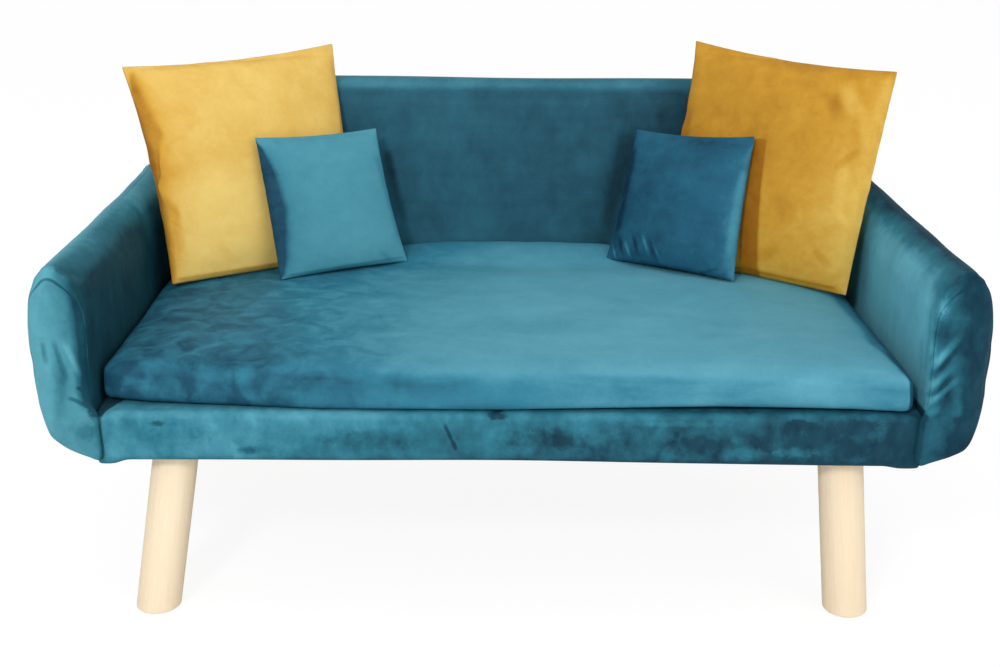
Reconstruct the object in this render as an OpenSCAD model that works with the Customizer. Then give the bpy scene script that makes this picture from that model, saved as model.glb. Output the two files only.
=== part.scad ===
// A raised sofa bed for a small dog: a covered wooden base on four splayed round legs, two padded
// arms, a padded leaning back, a loose seat cushion and four throw cushions.
// X runs to the sofa's right as it is seen from the front, Y to the rear, Z up from the floor.

/* [Overall] */
// Width over the widest part of both arms
sofa_w = 1000; // [800:10:1200]
// Depth of the base, from its covered front to the foot of the back
base_d = 457; // [380:1:560]
// Height of the rails' underside over the floor
leg_h = 200; // [140:5:260]

/* [Base] */
// Height of the base rails
rail_h = 43; // [38:1:60]
// Thickness of the base rails
rail_t = 18; // [15:1:22]
// Thickness of the plywood deck
deck_t = 9; // [6:1:12]
// Foam in front of the front rail
front_pad_t = 8; // [4:1:14]
// Foam on top of the deck
top_pad_t = 2.5; // [1.5:0.5:6]
// Thickness of the velvet with its lining
cover_t = 1.5; // [1:0.5:2.5]
// Radius of the covered front edges
front_edge_r = 9; // [5:1:14]

/* [Legs] */
// Diameter of a leg
leg_dia = 50; // [36:1:60]
// Distance of a leg's top from the end of the base
leg_end_inset = 74.5; // [60:0.5:110]
// Distance of a front leg's top from the base's front
leg_front_inset = 50; // [44:1:70]
// Distance of a rear leg's top from the base's rear
leg_rear_inset = 40; // [36:1:60]
// Outward splay of the left legs in degrees
splay_left = 9.3; // [4:0.1:12]
// Outward splay of the right legs in degrees
splay_right = 5.8; // [4:0.1:12]
// Forward rake of the front legs in degrees
rake_front = 3; // [0:0.5:8]
// Rearward rake of the rear legs in degrees
rake_rear = 13.5; // [4:0.5:16]

/* [Arms] */
// Thickness of an arm
arm_t = 55.5; // [48:0.5:80]
// Height of an arm over the rails' underside
arm_h = 210.5; // [180:0.5:260]
// How far an arm stands proud of the base's front
arm_proud = 10; // [0:1:25]
// Depth of the rounding of an arm's padded front
arm_round = 24; // [12:1:36]

/* [Back] */
// Thickness of the back
back_t = 78; // [64:1:110]
// Height of the back along its lean
back_h = 330; // [260:5:400]
// Lean of the back in degrees
lean = 7; // [3:0.5:12]
// Depth of the rounding along the back's edges
back_round = 22; // [12:1:30]

/* [Seat cushion] */
// Gap between the seat cushion and each arm
seat_end_gap = 18.5; // [12:0.5:60]
// Height of the seat cushion's edge
seat_edge_h = 41; // [30:1:70]
// Rise of the seat cushion's crown over its edge
seat_crown = 12; // [4:1:25]

/* [Throw cushions] */
// Side of the big cushion on the left
big_side_left = 273; // [220:1:300]
// Side of the big cushion on the right
big_side_right = 279; // [220:1:300]
// Fullness of a big cushion
big_t = 60; // [40:1:64]
// Side of the small cushion on the left
small_side_left = 177; // [140:1:190]
// Side of the small cushion on the right
small_side_right = 174; // [140:1:190]
// Fullness of a small cushion
small_t = 38; // [24:1:40]

/* [Hidden] */
// Smoothness of drilled and turned shapes
$fn = 48;

// Clearances
panel_gap = 1;       // between the base and the arms, and between the arms and the back
soft_gap = 0.3;      // between a cushion and what it rests on, and between cloth and stuffing
fit_gap = 0.3;       // round a core in its foam
drill_gap = 0.1;     // round a screw, bolt or insert in its hole, on the radius
overrun = 4;         // of a cut past the face it opens
quarter = 90;        // quarter of a turn in degrees

// Plywood and battens inside the arms and the back
core_t = 15;
core_corner_r = 20;
batten_h = 32;
batten_lift = 14;
arm_core_s = 12.5;           // from an arm's inner face to its core
arm_core_lift = 20;
arm_core_drop = 24;
arm_core_front = 28;
arm_core_rear = 16;
arm_batten_front = 45;
arm_batten_rear = 25;
back_core_v = 30;            // from the back's front face to its core
back_core_lift = 12;
back_core_drop = 26;
back_core_end = 26;
back_foot = 6;               // from the underside level to the back's lower edge, along the lean
back_end_gap = 6;            // from the arms' outermost line to the back's end
back_batten_end = 90;
back_bolt_end = 112;
back_batten_lift = 8;

// Bolts with their washers and nuts
bolt_dia = 6;
bolt_head_dia = 11;
bolt_head_h = 4;
washer_dia = 15;
washer_t = 1.2;
t_nut_dia = 18;
t_nut_t = 1.2;
t_nut_barrel_dia = 8;
t_nut_barrel_h = 9;
arm_bolt_lift = 30;
arm_bolt_shares = [0.2, 0.5, 0.8];
back_bolt_w = 26;
back_bolt_shares = [-0.75, -0.3, 0.3, 0.75];

// Wood screws
screw_dia = 4;
screw_head_dia = 8;
screw_head_h = 3;
frame_screw_l = 50;
deck_screw_l = 30;
frame_screw_shares = [0.28, 0.74];
deck_screw_shares = [-0.8, -0.4, 0.4, 0.8];
deck_centre_shares = [0.3, 0.7];

// Leg fittings
block_w = 84;
block_d = 62;
block_top_gap = 3;
hanger_dia = 8;
hanger_in_leg = 45;
hanger_in_block = 28;
insert_dia = 12;
insert_l = 24;
insert_lift = 2.5;
glide_dia = 36;
glide_t = 1.5;

// Cloth of the base and under it
edge_cells = 6;
flap_d = 20;
dust_t = 0.6;
dust_edge = 12;
dust_rear = 6;
dust_seam = 0.5;
leg_hole_gap = 1.6;
staple_l = 10;
staple_w = 1;
staple_t = 0.5;
staple_edge = 5;
staple_end_shares = [-0.68, -0.46, -0.23, 0, 0.23, 0.46, 0.68];
staple_side_shares = [0.25, 0.42, 0.58, 0.75];

// Seat cushion
seat_front_gap = 2;
seat_back_gap = 6;
seat_corner_r = 18;
seat_round = 5;
seat_corner_cells = 3;
seat_long_cells = 6;
seat_short_cells = 3;
zip_l = 560;
zip_h = 5;
zip_t = 1.2;
slider_w = 11;
slider_wall = 1;
slider_inset = 14;
pull_pin_dia = 1.4;
pull_pin_gap = 0.9;
pull_eye_dia = 3;
pull_w = 5;
pull_l = 14;
pull_t = 1;
lug_t = 1;

// Throw cushions: each place is the middle of the lower edge, as shares of the base's half width
// and of its depth, then the angles in degrees: the turn about the upright and the lean
big_left_place_shares = [-0.6911, 0.7687];
big_left_turn = [31.9, 18.7];
big_right_place_shares = [0.6794, 0.7552];
big_right_turn = [-36.7, 18.9];
small_left_place_shares = [-0.4701, 0.7514];
small_left_turn = [31.7, 23];
small_right_place_shares = [0.4699, 0.7637];
small_right_turn = [-33, 20.6];
big_cells = 10;
small_cells = 8;
fullness_power = 0.9;
draw_share = 0.035;
low_draw_share = 0.015;
foot_cells = 24;
pillow_seam = 4;             // of doubled cloth along a cushion's edge

// Outline of an arm seen from the front: across its thickness, then up its height
arm_outline_shares = [
    [0, 0.04], [0.1, 0.03], [0.32, 0.052], [0.57, 0.09], [0.75, 0.13], [0.84, 0.2], [0.9, 0.29],
    [0.95, 0.41], [1, 0.53], [1, 0.67], [0.98, 0.79], [0.93, 0.885], [0.84, 0.95], [0.72, 0.99],
    [0.55, 1], [0.38, 0.985], [0.24, 0.945], [0.14, 0.875], [0.06, 0.79], [0.01, 0.68], [0, 0.55],
    [0, 0.3]];
// Right half of the back's outline: across its half width, then up its height
back_outline_shares = [
    [0.3, 0], [0.6, 0], [0.88, 0], [0.935, 0.033], [0.963, 0.057], [0.984, 0.082], [0.994, 0.127],
    [1, 0.182], [1, 0.4], [1, 0.6], [1, 0.8], [1, 0.9], [0.991, 0.952], [0.968, 0.988], [0.93, 1],
    [0.6, 1], [0.3, 1]];
// Rounding of a padded edge: how far along, then how far drawn in, both of the rounding's depth
edge_round_shares = [[0, 0.85], [0.06, 0.52], [0.24, 0.22], [0.55, 0.05], [1, 0]];
// Side of the seat cushion: up its edge height, then drawn in by its rounding
seat_side_shares = [[0, 1], [0.05, 0.3], [0.15, 0], [0.5, 0.3], [0.86, 0], [0.96, 0.25], [1, 0.9]];
// Crown of the seat cushion: in from its edge toward the middle, then up the crown
seat_crown_shares = [[0.09, 0.3], [0.22, 0.56], [0.4, 0.78], [0.62, 0.93], [0.86, 0.99]];

// Places worked out from the sizes above
base_half = sofa_w / 2 - arm_t - panel_gap;
rear_reach = back_t * cos(lean) + (back_foot + back_h - back_round * edge_round_shares[0][1]) * sin(lean);
front_y = arm_proud - (arm_proud + base_d + rear_reach) / 2;
rear_y = front_y + base_d;
rail_y = front_y + cover_t + front_pad_t;
deck_z = leg_h + rail_h;
pad_z = deck_z + deck_t;
base_top_z = pad_z + top_pad_t + cover_t;
rail_in = base_half - rail_t;
arm_x = base_half + panel_gap;
arm_y = front_y - arm_proud;
back_half = sofa_w / 2 - back_end_gap;
seat_z = base_top_z + soft_gap;
seat_y0 = front_y + seat_front_gap;
seat_y1 = lean_y(base_top_z) - seat_back_gap;
seat_half = [arm_x - seat_end_gap, (seat_y1 - seat_y0) / 2];
seat_mid = (seat_y0 + seat_y1) / 2;
foam_in = cover_t + soft_gap;
bolt_hole_dia = bolt_dia + 2 * drill_gap;

// Front face of the back at a height over the floor
function lean_y(z) = rear_y + (z - leg_h) * tan(lean);

// Facets of a stack of equal rings, each ring seen anticlockwise from above the stack
function stack_faces(rings, count) = concat(
    [for (r = [0:rings - 2], k = [0:count - 1])
        let (a = r * count + k, b = r * count + (k + 1) % count)
        for (f = [[a, a + count, b + count], [a, b + count, b]]) f],
    [for (k = [0:count - 1]) [rings * count, k, (k + 1) % count]],
    [for (k = [0:count - 1])
        [rings * count + 1, (rings - 1) * count + (k + 1) % count, (rings - 1) * count + k]]);

// One point of an outline drawn in toward the outline's middle
function drawn_in(p, mid, inset) =
    [for (i = [0:1]) mid[i] + (p[i] - mid[i]) * (1 - inset / mid[i])];

function reversed(list) = [for (i = [len(list) - 1:-1:0]) list[i]];

// Places along a padded slab with both ends rounded, each with how far the outline is drawn in
function rounded_ends(length, round, shrink) = concat(
    [for (s = edge_round_shares) [s[0] * round + shrink, s[1] * round + shrink]],
    [for (s = reversed(edge_round_shares)) [length - s[0] * round - shrink, s[1] * round + shrink]]);

// Block along X from an outline drawn as depth and height
module along_x(x0, x1) {
    translate([x0, 0, 0])
        rotate([90, 0, 90])
            linear_extrude(x1 - x0)
                children();
}

// Block between two corners
module block(low, high) {
    translate(low) cube(high - low);
}

// Plate outline with round corners, from exact circles
module rounded_plate(size, r) {
    translate([r, 0]) square([size[0] - 2 * r, size[1]]);
    translate([0, r]) square([size[0], size[1] - 2 * r]);
    for (x = [r, size[0] - r], y = [r, size[1] - r])
        translate([x, y]) circle(r);
}

module both_sides() {
    children();
    mirror([1, 0, 0]) children();
}

// The frame of the leaning back: X across, Y into its thickness, Z up its lean
module leaning() {
    translate([0, rear_y, leg_h])
        rotate([-lean, 0, 0])
            children();
}

// Base frame

function side_rail_points() = [
    [rail_y, leg_h], [rear_y, leg_h], [rear_y, deck_z], [rail_y, deck_z]];

function arm_bolt_y(share) =
    front_y + arm_batten_front + share * (base_d - arm_batten_front - arm_batten_rear);

module arm_bolt_places() {
    for (s = arm_bolt_shares)
        translate([0, arm_bolt_y(s), leg_h + arm_bolt_lift])
            rotate([0, 90, 0])
                children();
}

module back_bolt_places() {
    leaning()
        for (s = back_bolt_shares)
            translate([s * (base_half - back_bolt_end), 0, back_bolt_w])
                rotate([-90, 0, 0])
                    children();
}

module frame_screw_places() {
    for (y = [rail_y + rail_t / 2, rear_y - rail_t / 2], s = frame_screw_shares)
        translate([base_half, y, leg_h + s * rail_h])
            rotate([0, -90, 0])
                children();
}

module deck_screw_places() {
    for (y = [rail_y + rail_t / 2, rear_y - rail_t / 2], s = deck_screw_shares)
        translate([s * rail_in, y, pad_z])
            mirror([0, 0, 1]) children();
    for (s = deck_centre_shares)
        translate([0, rail_y + s * (rear_y - rail_y), pad_z])
            mirror([0, 0, 1]) children();
}

// Screw from its head's face downwards; spare widens it into its hole
module screw(length, spare = 0) {
    cylinder(h = length, d = screw_dia + 2 * spare);
    translate([0, 0, -spare]) cylinder(h = screw_head_h + spare, d = screw_head_dia + 2 * spare);
}

module front_rail() {
    color("burlywood") difference() {
        block([-rail_in, rail_y, leg_h], [rail_in, rail_y + rail_t, deck_z]);
        both_sides() frame_screw_places() screw(frame_screw_l, drill_gap);
        deck_screw_places() screw(deck_screw_l, drill_gap);
    }
}

// From the seat of a back bolt's washer in the rear rail to the front face of the back
back_seat_v = -(rail_t + back_bolt_w * sin(lean)) / cos(lean) + washer_dia / 2 * tan(lean);

module rear_rail() {
    color("burlywood") difference() {
        block([-rail_in, rear_y - rail_t, leg_h], [rail_in, rear_y, deck_z]);
        both_sides() frame_screw_places() screw(frame_screw_l, drill_gap);
        deck_screw_places() screw(deck_screw_l, drill_gap);
        back_bolt_places() {
            translate([0, 0, back_seat_v - overrun])
                cylinder(h = -back_seat_v + 2 * overrun, d = bolt_hole_dia);
            translate([0, 0, back_seat_v - overrun])
                cylinder(h = overrun, d = washer_dia + 2 * drill_gap);
        }
    }
}

module side_rail() {
    difference() {
        along_x(rail_in, base_half) polygon(side_rail_points());
        frame_screw_places() screw(frame_screw_l, drill_gap);
        translate([rail_in - overrun, 0, 0])
            arm_bolt_places() cylinder(h = rail_t + 2 * overrun, d = bolt_hole_dia);
    }
}

module side_rail_left() {
    color("burlywood") mirror([1, 0, 0]) side_rail();
}

module side_rail_right() {
    color("burlywood") side_rail();
}

module centre_rail() {
    color("burlywood") difference() {
        block([-rail_t / 2, rail_y + rail_t, leg_h], [rail_t / 2, rear_y - rail_t, deck_z]);
        deck_screw_places() screw(deck_screw_l, drill_gap);
    }
}

module seat_deck() {
    color("wheat") difference() {
        block([-base_half, rail_y, deck_z], [base_half, rear_y, pad_z]);
        deck_screw_places() screw(deck_screw_l, drill_gap);
    }
}

module frame_screws() {
    color("silver") both_sides() frame_screw_places() screw(frame_screw_l);
}

module deck_screws() {
    color("silver") deck_screw_places() screw(deck_screw_l);
}

// Legs

leg_x = base_half - leg_end_inset;
leg_front_y = front_y + leg_front_inset;
leg_rear_y = rear_y - leg_rear_inset;

// Each leg: middle of its top in X and Y, then how far its foot stands out in X and Y
leg_front_left_at = [-leg_x, leg_front_y, -leg_h * tan(splay_left), -leg_h * tan(rake_front)];
leg_front_right_at = [leg_x, leg_front_y, leg_h * tan(splay_right), -leg_h * tan(rake_front)];
leg_rear_left_at = [-leg_x, leg_rear_y, -leg_h * tan(splay_left), leg_h * tan(rake_rear)];
leg_rear_right_at = [leg_x, leg_rear_y, leg_h * tan(splay_right), leg_h * tan(rake_rear)];
legs_at = [leg_front_left_at, leg_front_right_at, leg_rear_left_at, leg_rear_right_at];

// Puts a shape drawn up from the origin onto a leg's axis, with the origin at the leg's top
module on_leg_axis(at) {
    turn = atan2(-at[3], -at[2]);
    translate([at[0], at[1], leg_h])
        rotate([0, atan2(norm([at[2], at[3]]), leg_h), turn])
            rotate([0, 0, -turn])
                children();
}

module leg(at) {
    color("bisque") intersection() {
        on_leg_axis(at)
            difference() {
                translate([0, 0, -2 * leg_h])
                    cylinder(h = 3 * leg_h, d = leg_dia);
                translate([0, 0, -hanger_in_leg])
                    cylinder(h = 2 * leg_h, d = hanger_dia + 2 * drill_gap);
            }
        block([-sofa_w, -sofa_w, glide_t], [sofa_w, sofa_w, leg_h]);
    }
}

module leg_front_left() {
    leg(leg_front_left_at);
}

module leg_front_right() {
    leg(leg_front_right_at);
}

module leg_rear_left() {
    leg(leg_rear_left_at);
}

module leg_rear_right() {
    leg(leg_rear_right_at);
}

module hanger_bolts() {
    color("silver")
        for (at = legs_at)
            on_leg_axis(at)
                translate([0, 0, -hanger_in_leg])
                    cylinder(h = hanger_in_leg + hanger_in_block, d = hanger_dia);
}

module leg_inserts() {
    color("goldenrod")
        for (at = legs_at)
            on_leg_axis(at)
                translate([0, 0, insert_lift])
                    difference() {
                        cylinder(h = insert_l, d = insert_dia);
                        translate([0, 0, -overrun])
                            cylinder(h = insert_l + 2 * overrun, d = hanger_dia + 2 * drill_gap);
                    }
}

module leg_blocks() {
    block_x = rail_in - block_w;
    color("burlywood") difference() {
        both_sides() {
            block([block_x, rail_y + rail_t, leg_h],
                [rail_in, rail_y + rail_t + block_d, deck_z - block_top_gap]);
            block([block_x, rear_y - rail_t - block_d, leg_h],
                [rail_in, rear_y - rail_t, deck_z - block_top_gap]);
        }
        for (at = legs_at)
            on_leg_axis(at)
                translate([0, 0, -overrun])
                    cylinder(h = hanger_in_block + 2 * overrun, d = insert_dia + 2 * drill_gap);
    }
}

module floor_glides() {
    color("dimgray")
        for (at = legs_at)
            translate([at[0] + at[2], at[1] + at[3], 0])
                cylinder(h = glide_t, d = glide_dia);
}

// Padding and cloth of the base

function arc_points(mid, r, from, to, steps) =
    [for (i = [0:steps])
        let (a = from + (to - from) * i / steps)
        [mid[0] + r * cos(a), mid[1] + r * sin(a)]];

// Section of the covered base seen from its right end, set in by a cloth's thickness
function base_section(inset, rear) =
    let (r = front_edge_r - inset, y = front_y + front_edge_r,
        low = leg_h - cover_t + front_edge_r, high = base_top_z - front_edge_r)
    concat([[rear, low - r]],
        reversed(arc_points([y, low], r, 2 * quarter, 3 * quarter, edge_cells)),
        reversed(arc_points([y, high], r, quarter, 2 * quarter, edge_cells)),
        [[rear, high + r]]);

module base_pad() {
    color("ivory") along_x(-base_half, base_half)
        difference() {
            polygon(base_section(cover_t, rear_y));
            translate([rail_y, leg_h - overrun])
                square([base_d, pad_z - leg_h + overrun]);
        }
}

module base_cover() {
    color("teal") along_x(-base_half, base_half)
        difference() {
            polygon(base_section(0, rear_y));
            polygon(base_section(cover_t, rear_y + overrun));
            translate([front_y + flap_d, leg_h - cover_t - overrun])
                square([base_d, rail_h]);
        }
}

dust_y0 = front_y + flap_d + dust_seam;
dust_y1 = rear_y - dust_rear;
dust_half = base_half - dust_edge;

module dust_cover() {
    color([0.12, 0.12, 0.13]) difference() {
        block([-dust_half, dust_y0, leg_h - dust_t], [dust_half, dust_y1, leg_h]);
        for (at = legs_at)
            translate([at[0], at[1], leg_h - dust_t - overrun])
                cylinder(h = dust_t + 2 * overrun, d = leg_dia + 2 * leg_hole_gap);
    }
}

module dust_cover_staples() {
    z = leg_h - dust_t - staple_t;
    color("silver") {
        for (s = staple_end_shares, y = [dust_y0 + staple_edge, dust_y1 - staple_edge])
            translate([s * dust_half - staple_l / 2, y - staple_w / 2, z])
                cube([staple_l, staple_w, staple_t]);
        for (s = staple_side_shares, side = [-1, 1])
            translate([side * (dust_half - staple_edge) - staple_w / 2,
                dust_y0 + s * (dust_y1 - dust_y0) - staple_l / 2, z])
                cube([staple_w, staple_l, staple_t]);
    }
}

// Arms, drawn on the right and mirrored to the left

arm_mid = [arm_t / 2, arm_h / 2];
arm_outline = reversed([for (s = arm_outline_shares) [s[0] * arm_t, s[1] * arm_h]]);

// Rear end of an arm at a height, just in front of the leaning back
function arm_rear_y(z) = lean_y(z) - panel_gap;

// Padded form of an arm, smaller by one thickness all round
module arm_form(shrink) {
    rings = rounded_ends(0, arm_round, shrink);
    front = len(edge_round_shares);
    points = [for (r = [0:front], p = arm_outline)
        let (last = r == front, q = drawn_in(p, arm_mid, last ? shrink : rings[r][1]))
        [arm_x + q[0], last ? arm_rear_y(leg_h + q[1]) - shrink : arm_y + rings[r][0], leg_h + q[1]]];
    ends = [[arm_x + arm_mid[0], arm_y + shrink, leg_h + arm_mid[1]],
        [arm_x + arm_mid[0], arm_rear_y(leg_h + arm_mid[1]) - shrink, leg_h + arm_mid[1]]];
    polyhedron(concat(points, ends), stack_faces(front + 1, len(arm_outline)), convexity = 6);
}

arm_core_x = arm_x + arm_core_s;
arm_core_low = [arm_y + arm_core_front, leg_h + arm_core_lift];
arm_core_size = [rear_y - arm_core_rear - arm_core_low[0], arm_h - arm_core_lift - arm_core_drop];
arm_batten_y0 = front_y + arm_batten_front;
arm_batten_y1 = rear_y - arm_batten_rear;
arm_batten_z = leg_h + batten_lift;

module arm_core() {
    color("wheat") difference() {
        along_x(arm_core_x, arm_core_x + core_t)
            translate(arm_core_low) rounded_plate(arm_core_size, core_corner_r);
        translate([arm_core_x - overrun, 0, 0])
            arm_bolt_places() cylinder(h = core_t + 2 * overrun, d = t_nut_barrel_dia + 2 * drill_gap);
    }
}

module arm_batten() {
    color("burlywood") difference() {
        block([base_half, arm_batten_y0, arm_batten_z], [arm_core_x, arm_batten_y1, arm_batten_z + batten_h]);
        translate([base_half - overrun, 0, 0])
            arm_bolt_places() cylinder(h = arm_core_s + panel_gap + 2 * overrun, d = bolt_hole_dia);
    }
}

module arm_foam() {
    spare = [fit_gap, fit_gap, fit_gap];
    color("ivory") difference() {
        arm_form(foam_in);
        block([arm_core_x, arm_core_low[0], arm_core_low[1]] - spare,
            [arm_core_x + core_t, arm_core_low[0] + arm_core_size[0], arm_core_low[1] + arm_core_size[1]]
            + spare);
        block([base_half, arm_batten_y0, arm_batten_z] - spare,
            [arm_core_x, arm_batten_y1, arm_batten_z + batten_h] + spare);
        translate([arm_core_x + core_t, 0, 0])
            arm_bolt_places() cylinder(h = t_nut_t + fit_gap, d = t_nut_dia + 2 * fit_gap);
    }
}

module arm_cover() {
    spare = [fit_gap, fit_gap, fit_gap];
    color("teal") difference() {
        arm_form(0);
        arm_form(cover_t);
        block([base_half, arm_batten_y0, arm_batten_z] - spare,
            [arm_core_x, arm_batten_y1, arm_batten_z + batten_h] + spare);
    }
}

module arm_core_left() {
    mirror([1, 0, 0]) arm_core();
}

module arm_core_right() {
    arm_core();
}

module arm_batten_left() {
    mirror([1, 0, 0]) arm_batten();
}

module arm_batten_right() {
    arm_batten();
}

module arm_foam_left() {
    mirror([1, 0, 0]) arm_foam();
}

module arm_foam_right() {
    arm_foam();
}

module arm_cover_left() {
    mirror([1, 0, 0]) arm_cover();
}

module arm_cover_right() {
    arm_cover();
}

// Bolt from the seat of its head, which stands on a washer
module bolt(length) {
    translate([0, 0, -washer_t]) cylinder(h = length + washer_t, d = bolt_dia);
    translate([0, 0, -washer_t - bolt_head_h]) cylinder(h = bolt_head_h, d = bolt_head_dia);
}

module washer() {
    translate([0, 0, -washer_t])
        difference() {
            cylinder(h = washer_t, d = washer_dia);
            translate([0, 0, -overrun]) cylinder(h = washer_t + 2 * overrun, d = bolt_hole_dia);
        }
}

// Nut with a flange, drawn from the flange's seat with its barrel pointing back down the bolt
module t_nut() {
    difference() {
        union() {
            cylinder(h = t_nut_t, d = t_nut_dia);
            translate([0, 0, -t_nut_barrel_h]) cylinder(h = t_nut_barrel_h, d = t_nut_barrel_dia);
        }
        translate([0, 0, -t_nut_barrel_h - overrun])
            cylinder(h = t_nut_barrel_h + t_nut_t + 2 * overrun, d = bolt_hole_dia);
    }
}

module arm_bolts() {
    color("silver") both_sides()
        translate([rail_in, 0, 0])
            arm_bolt_places() bolt(arm_core_x + core_t - rail_in);
}

module arm_washers() {
    color("gray") both_sides()
        translate([rail_in, 0, 0]) arm_bolt_places() washer();
}

module arm_t_nuts() {
    color("gray") both_sides()
        translate([arm_core_x + core_t, 0, 0]) arm_bolt_places() t_nut();
}

// Back, drawn in the leaning frame

back_mid = [back_half, back_h / 2];
back_right = [for (s = back_outline_shares) [back_half + s[0] * back_half, s[1] * back_h]];
back_outline = reversed(concat([[back_half, 0]], back_right, [[back_half, back_h]],
    reversed([for (p = back_right) [2 * back_half - p[0], p[1]]])));

// Padded form of the back, smaller by one thickness all round
module back_form(shrink) {
    rings = rounded_ends(back_t, back_round, shrink);
    points = [for (r = rings, p = back_outline)
        let (q = drawn_in(p, back_mid, r[1]))
        [q[0] - back_half, r[0], back_foot + q[1]]];
    ends = [[0, shrink, back_foot + back_mid[1]], [0, back_t - shrink, back_foot + back_mid[1]]];
    leaning()
        polyhedron(concat(points, ends), stack_faces(len(rings), len(back_outline)), convexity = 6);
}

back_core_half = back_half - back_core_end;
back_core_z0 = back_foot + back_core_lift;
back_core_h = back_h - back_core_lift - back_core_drop;

module back_core() {
    color("wheat") difference() {
        leaning()
            translate([-back_core_half, back_core_v + core_t, back_core_z0])
                rotate([90, 0, 0])
                    linear_extrude(core_t)
                        rounded_plate([2 * back_core_half, back_core_h], core_corner_r);
        back_bolt_places()
            translate([0, 0, back_core_v - overrun])
                cylinder(h = core_t + 2 * overrun, d = t_nut_barrel_dia + 2 * drill_gap);
    }
}

back_batten_half = base_half - back_batten_end;
back_batten_z0 = leg_h + back_batten_lift;

// Rear face of the back's batten at a height, along the front of the core
function back_batten_y(z) = rear_y + (back_core_v + (z - leg_h) * sin(lean)) / cos(lean);

module back_batten() {
    low = back_batten_z0;
    high = back_batten_z0 + batten_h;
    color("burlywood") difference() {
        along_x(-back_batten_half, back_batten_half)
            polygon([[rear_y, low], [back_batten_y(low), low], [back_batten_y(high), high],
                [rear_y, high]]);
        back_bolt_places()
            translate([0, 0, -overrun - rail_t])
                cylinder(h = back_core_v + rail_t + 2 * overrun, d = bolt_hole_dia);
    }
}

// Room round the batten where it passes through the back's cloth and foam
module back_batten_room() {
    leaning()
        block([-back_batten_half - fit_gap, -overrun, 0],
            [back_batten_half + fit_gap, back_core_v, back_batten_lift + batten_h + back_foot]);
}

module back_foam() {
    color("ivory") difference() {
        back_form(foam_in);
        leaning()
            block([-back_core_half - fit_gap, back_core_v - fit_gap, back_core_z0 - fit_gap],
                [back_core_half + fit_gap, back_core_v + core_t + fit_gap,
                back_core_z0 + back_core_h + fit_gap]);
        back_batten_room();
        back_bolt_places()
            translate([0, 0, back_core_v + core_t])
                cylinder(h = t_nut_t + fit_gap, d = t_nut_dia + 2 * fit_gap);
    }
}

module back_cover() {
    color("teal") difference() {
        back_form(0);
        back_form(cover_t);
        back_batten_room();
    }
}

module back_bolts() {
    color("silver") back_bolt_places()
        translate([0, 0, back_seat_v]) bolt(back_core_v + core_t - back_seat_v);
}

module back_washers() {
    color("gray") back_bolt_places()
        translate([0, 0, back_seat_v]) washer();
}

module back_t_nuts() {
    color("gray") back_bolt_places()
        translate([0, 0, back_core_v + core_t]) t_nut();
}

// Seat cushion

// Points of one straight edge, without its ends
function edge_points(from, to, cells) =
    [for (i = [1:cells - 1]) from + (to - from) * i / cells];

// Rounded outline of the seat cushion, from the rear right corner and anticlockwise
function seat_outline() =
    let (r = seat_corner_r, mid = seat_half, x = mid[0] - r, y = mid[1] - r)
    concat(
        arc_points([mid[0] + x, mid[1] + y], r, 0, quarter, seat_corner_cells),
        edge_points([mid[0] + x, 2 * mid[1]], [mid[0] - x, 2 * mid[1]], seat_long_cells),
        arc_points([mid[0] - x, mid[1] + y], r, quarter, 2 * quarter, seat_corner_cells),
        edge_points([0, mid[1] + y], [0, mid[1] - y], seat_short_cells),
        arc_points([mid[0] - x, mid[1] - y], r, 2 * quarter, 3 * quarter, seat_corner_cells),
        edge_points([mid[0] - x, 0], [mid[0] + x, 0], seat_long_cells),
        arc_points([mid[0] + x, mid[1] - y], r, 3 * quarter, 4 * quarter, seat_corner_cells),
        edge_points([2 * mid[0], mid[1] - y], [2 * mid[0], mid[1] + y], seat_short_cells));

// Rings of the seat cushion: height over its underside, then how far drawn in
seat_rings = concat(
    [for (s = seat_side_shares) [s[0] * seat_edge_h, s[1] * seat_round]],
    [for (s = seat_crown_shares) [seat_edge_h + s[1] * seat_crown, s[0] * seat_half[1]]]);

// Top of the seat cushion over the floor, at a place on it
function seat_top_z(x, y) =
    let (inset = max(seat_round, min(seat_half[0] - abs(x), seat_half[1] - abs(y - seat_mid))))
    seat_z + lookup(inset, concat(
        [for (s = seat_crown_shares) [s[0] * seat_half[1], seat_edge_h + s[1] * seat_crown]],
        [[seat_round, seat_edge_h], [seat_half[1], seat_edge_h + seat_crown]]));

module seat_form(shrink) {
    outline = seat_outline();
    last = len(seat_side_shares);
    points = [for (i = [0:len(seat_rings) - 1], p = outline)
        let (r = seat_rings[i], q = drawn_in(p, seat_half, r[1] + shrink))
        [q[0] - seat_half[0], seat_y0 + q[1],
            seat_z + (i < last ? shrink + r[0] * (1 - 2 * shrink / seat_edge_h) : r[0] - shrink)]];
    ends = [[0, seat_mid, seat_z + shrink], [0, seat_mid, seat_z + seat_edge_h + seat_crown - shrink]];
    polyhedron(concat(points, ends), stack_faces(len(seat_rings), len(outline)), convexity = 6);
}

module seat_foam() {
    color("ivory") seat_form(foam_in);
}

module seat_cover() {
    color("cadetblue") difference() {
        seat_form(0);
        seat_form(cover_t);
    }
}

// The zip closes the cushion's rear side, at the middle of its height, where the side draws in
zip_y = seat_y1 - seat_side_shares[3][1] * seat_round + soft_gap;
zip_z = seat_z + seat_side_shares[3][0] * seat_edge_h;
slider_x = zip_l / 2 - slider_inset;
slider_y = zip_y + zip_t + soft_gap;
pull_y = slider_y + slider_wall + pull_pin_gap + pull_pin_dia / 2;

module seat_zip() {
    color([0.1, 0.3, 0.38])
        translate([-zip_l / 2, zip_y, zip_z - zip_h / 2])
            cube([zip_l, zip_t, zip_h]);
}

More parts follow.
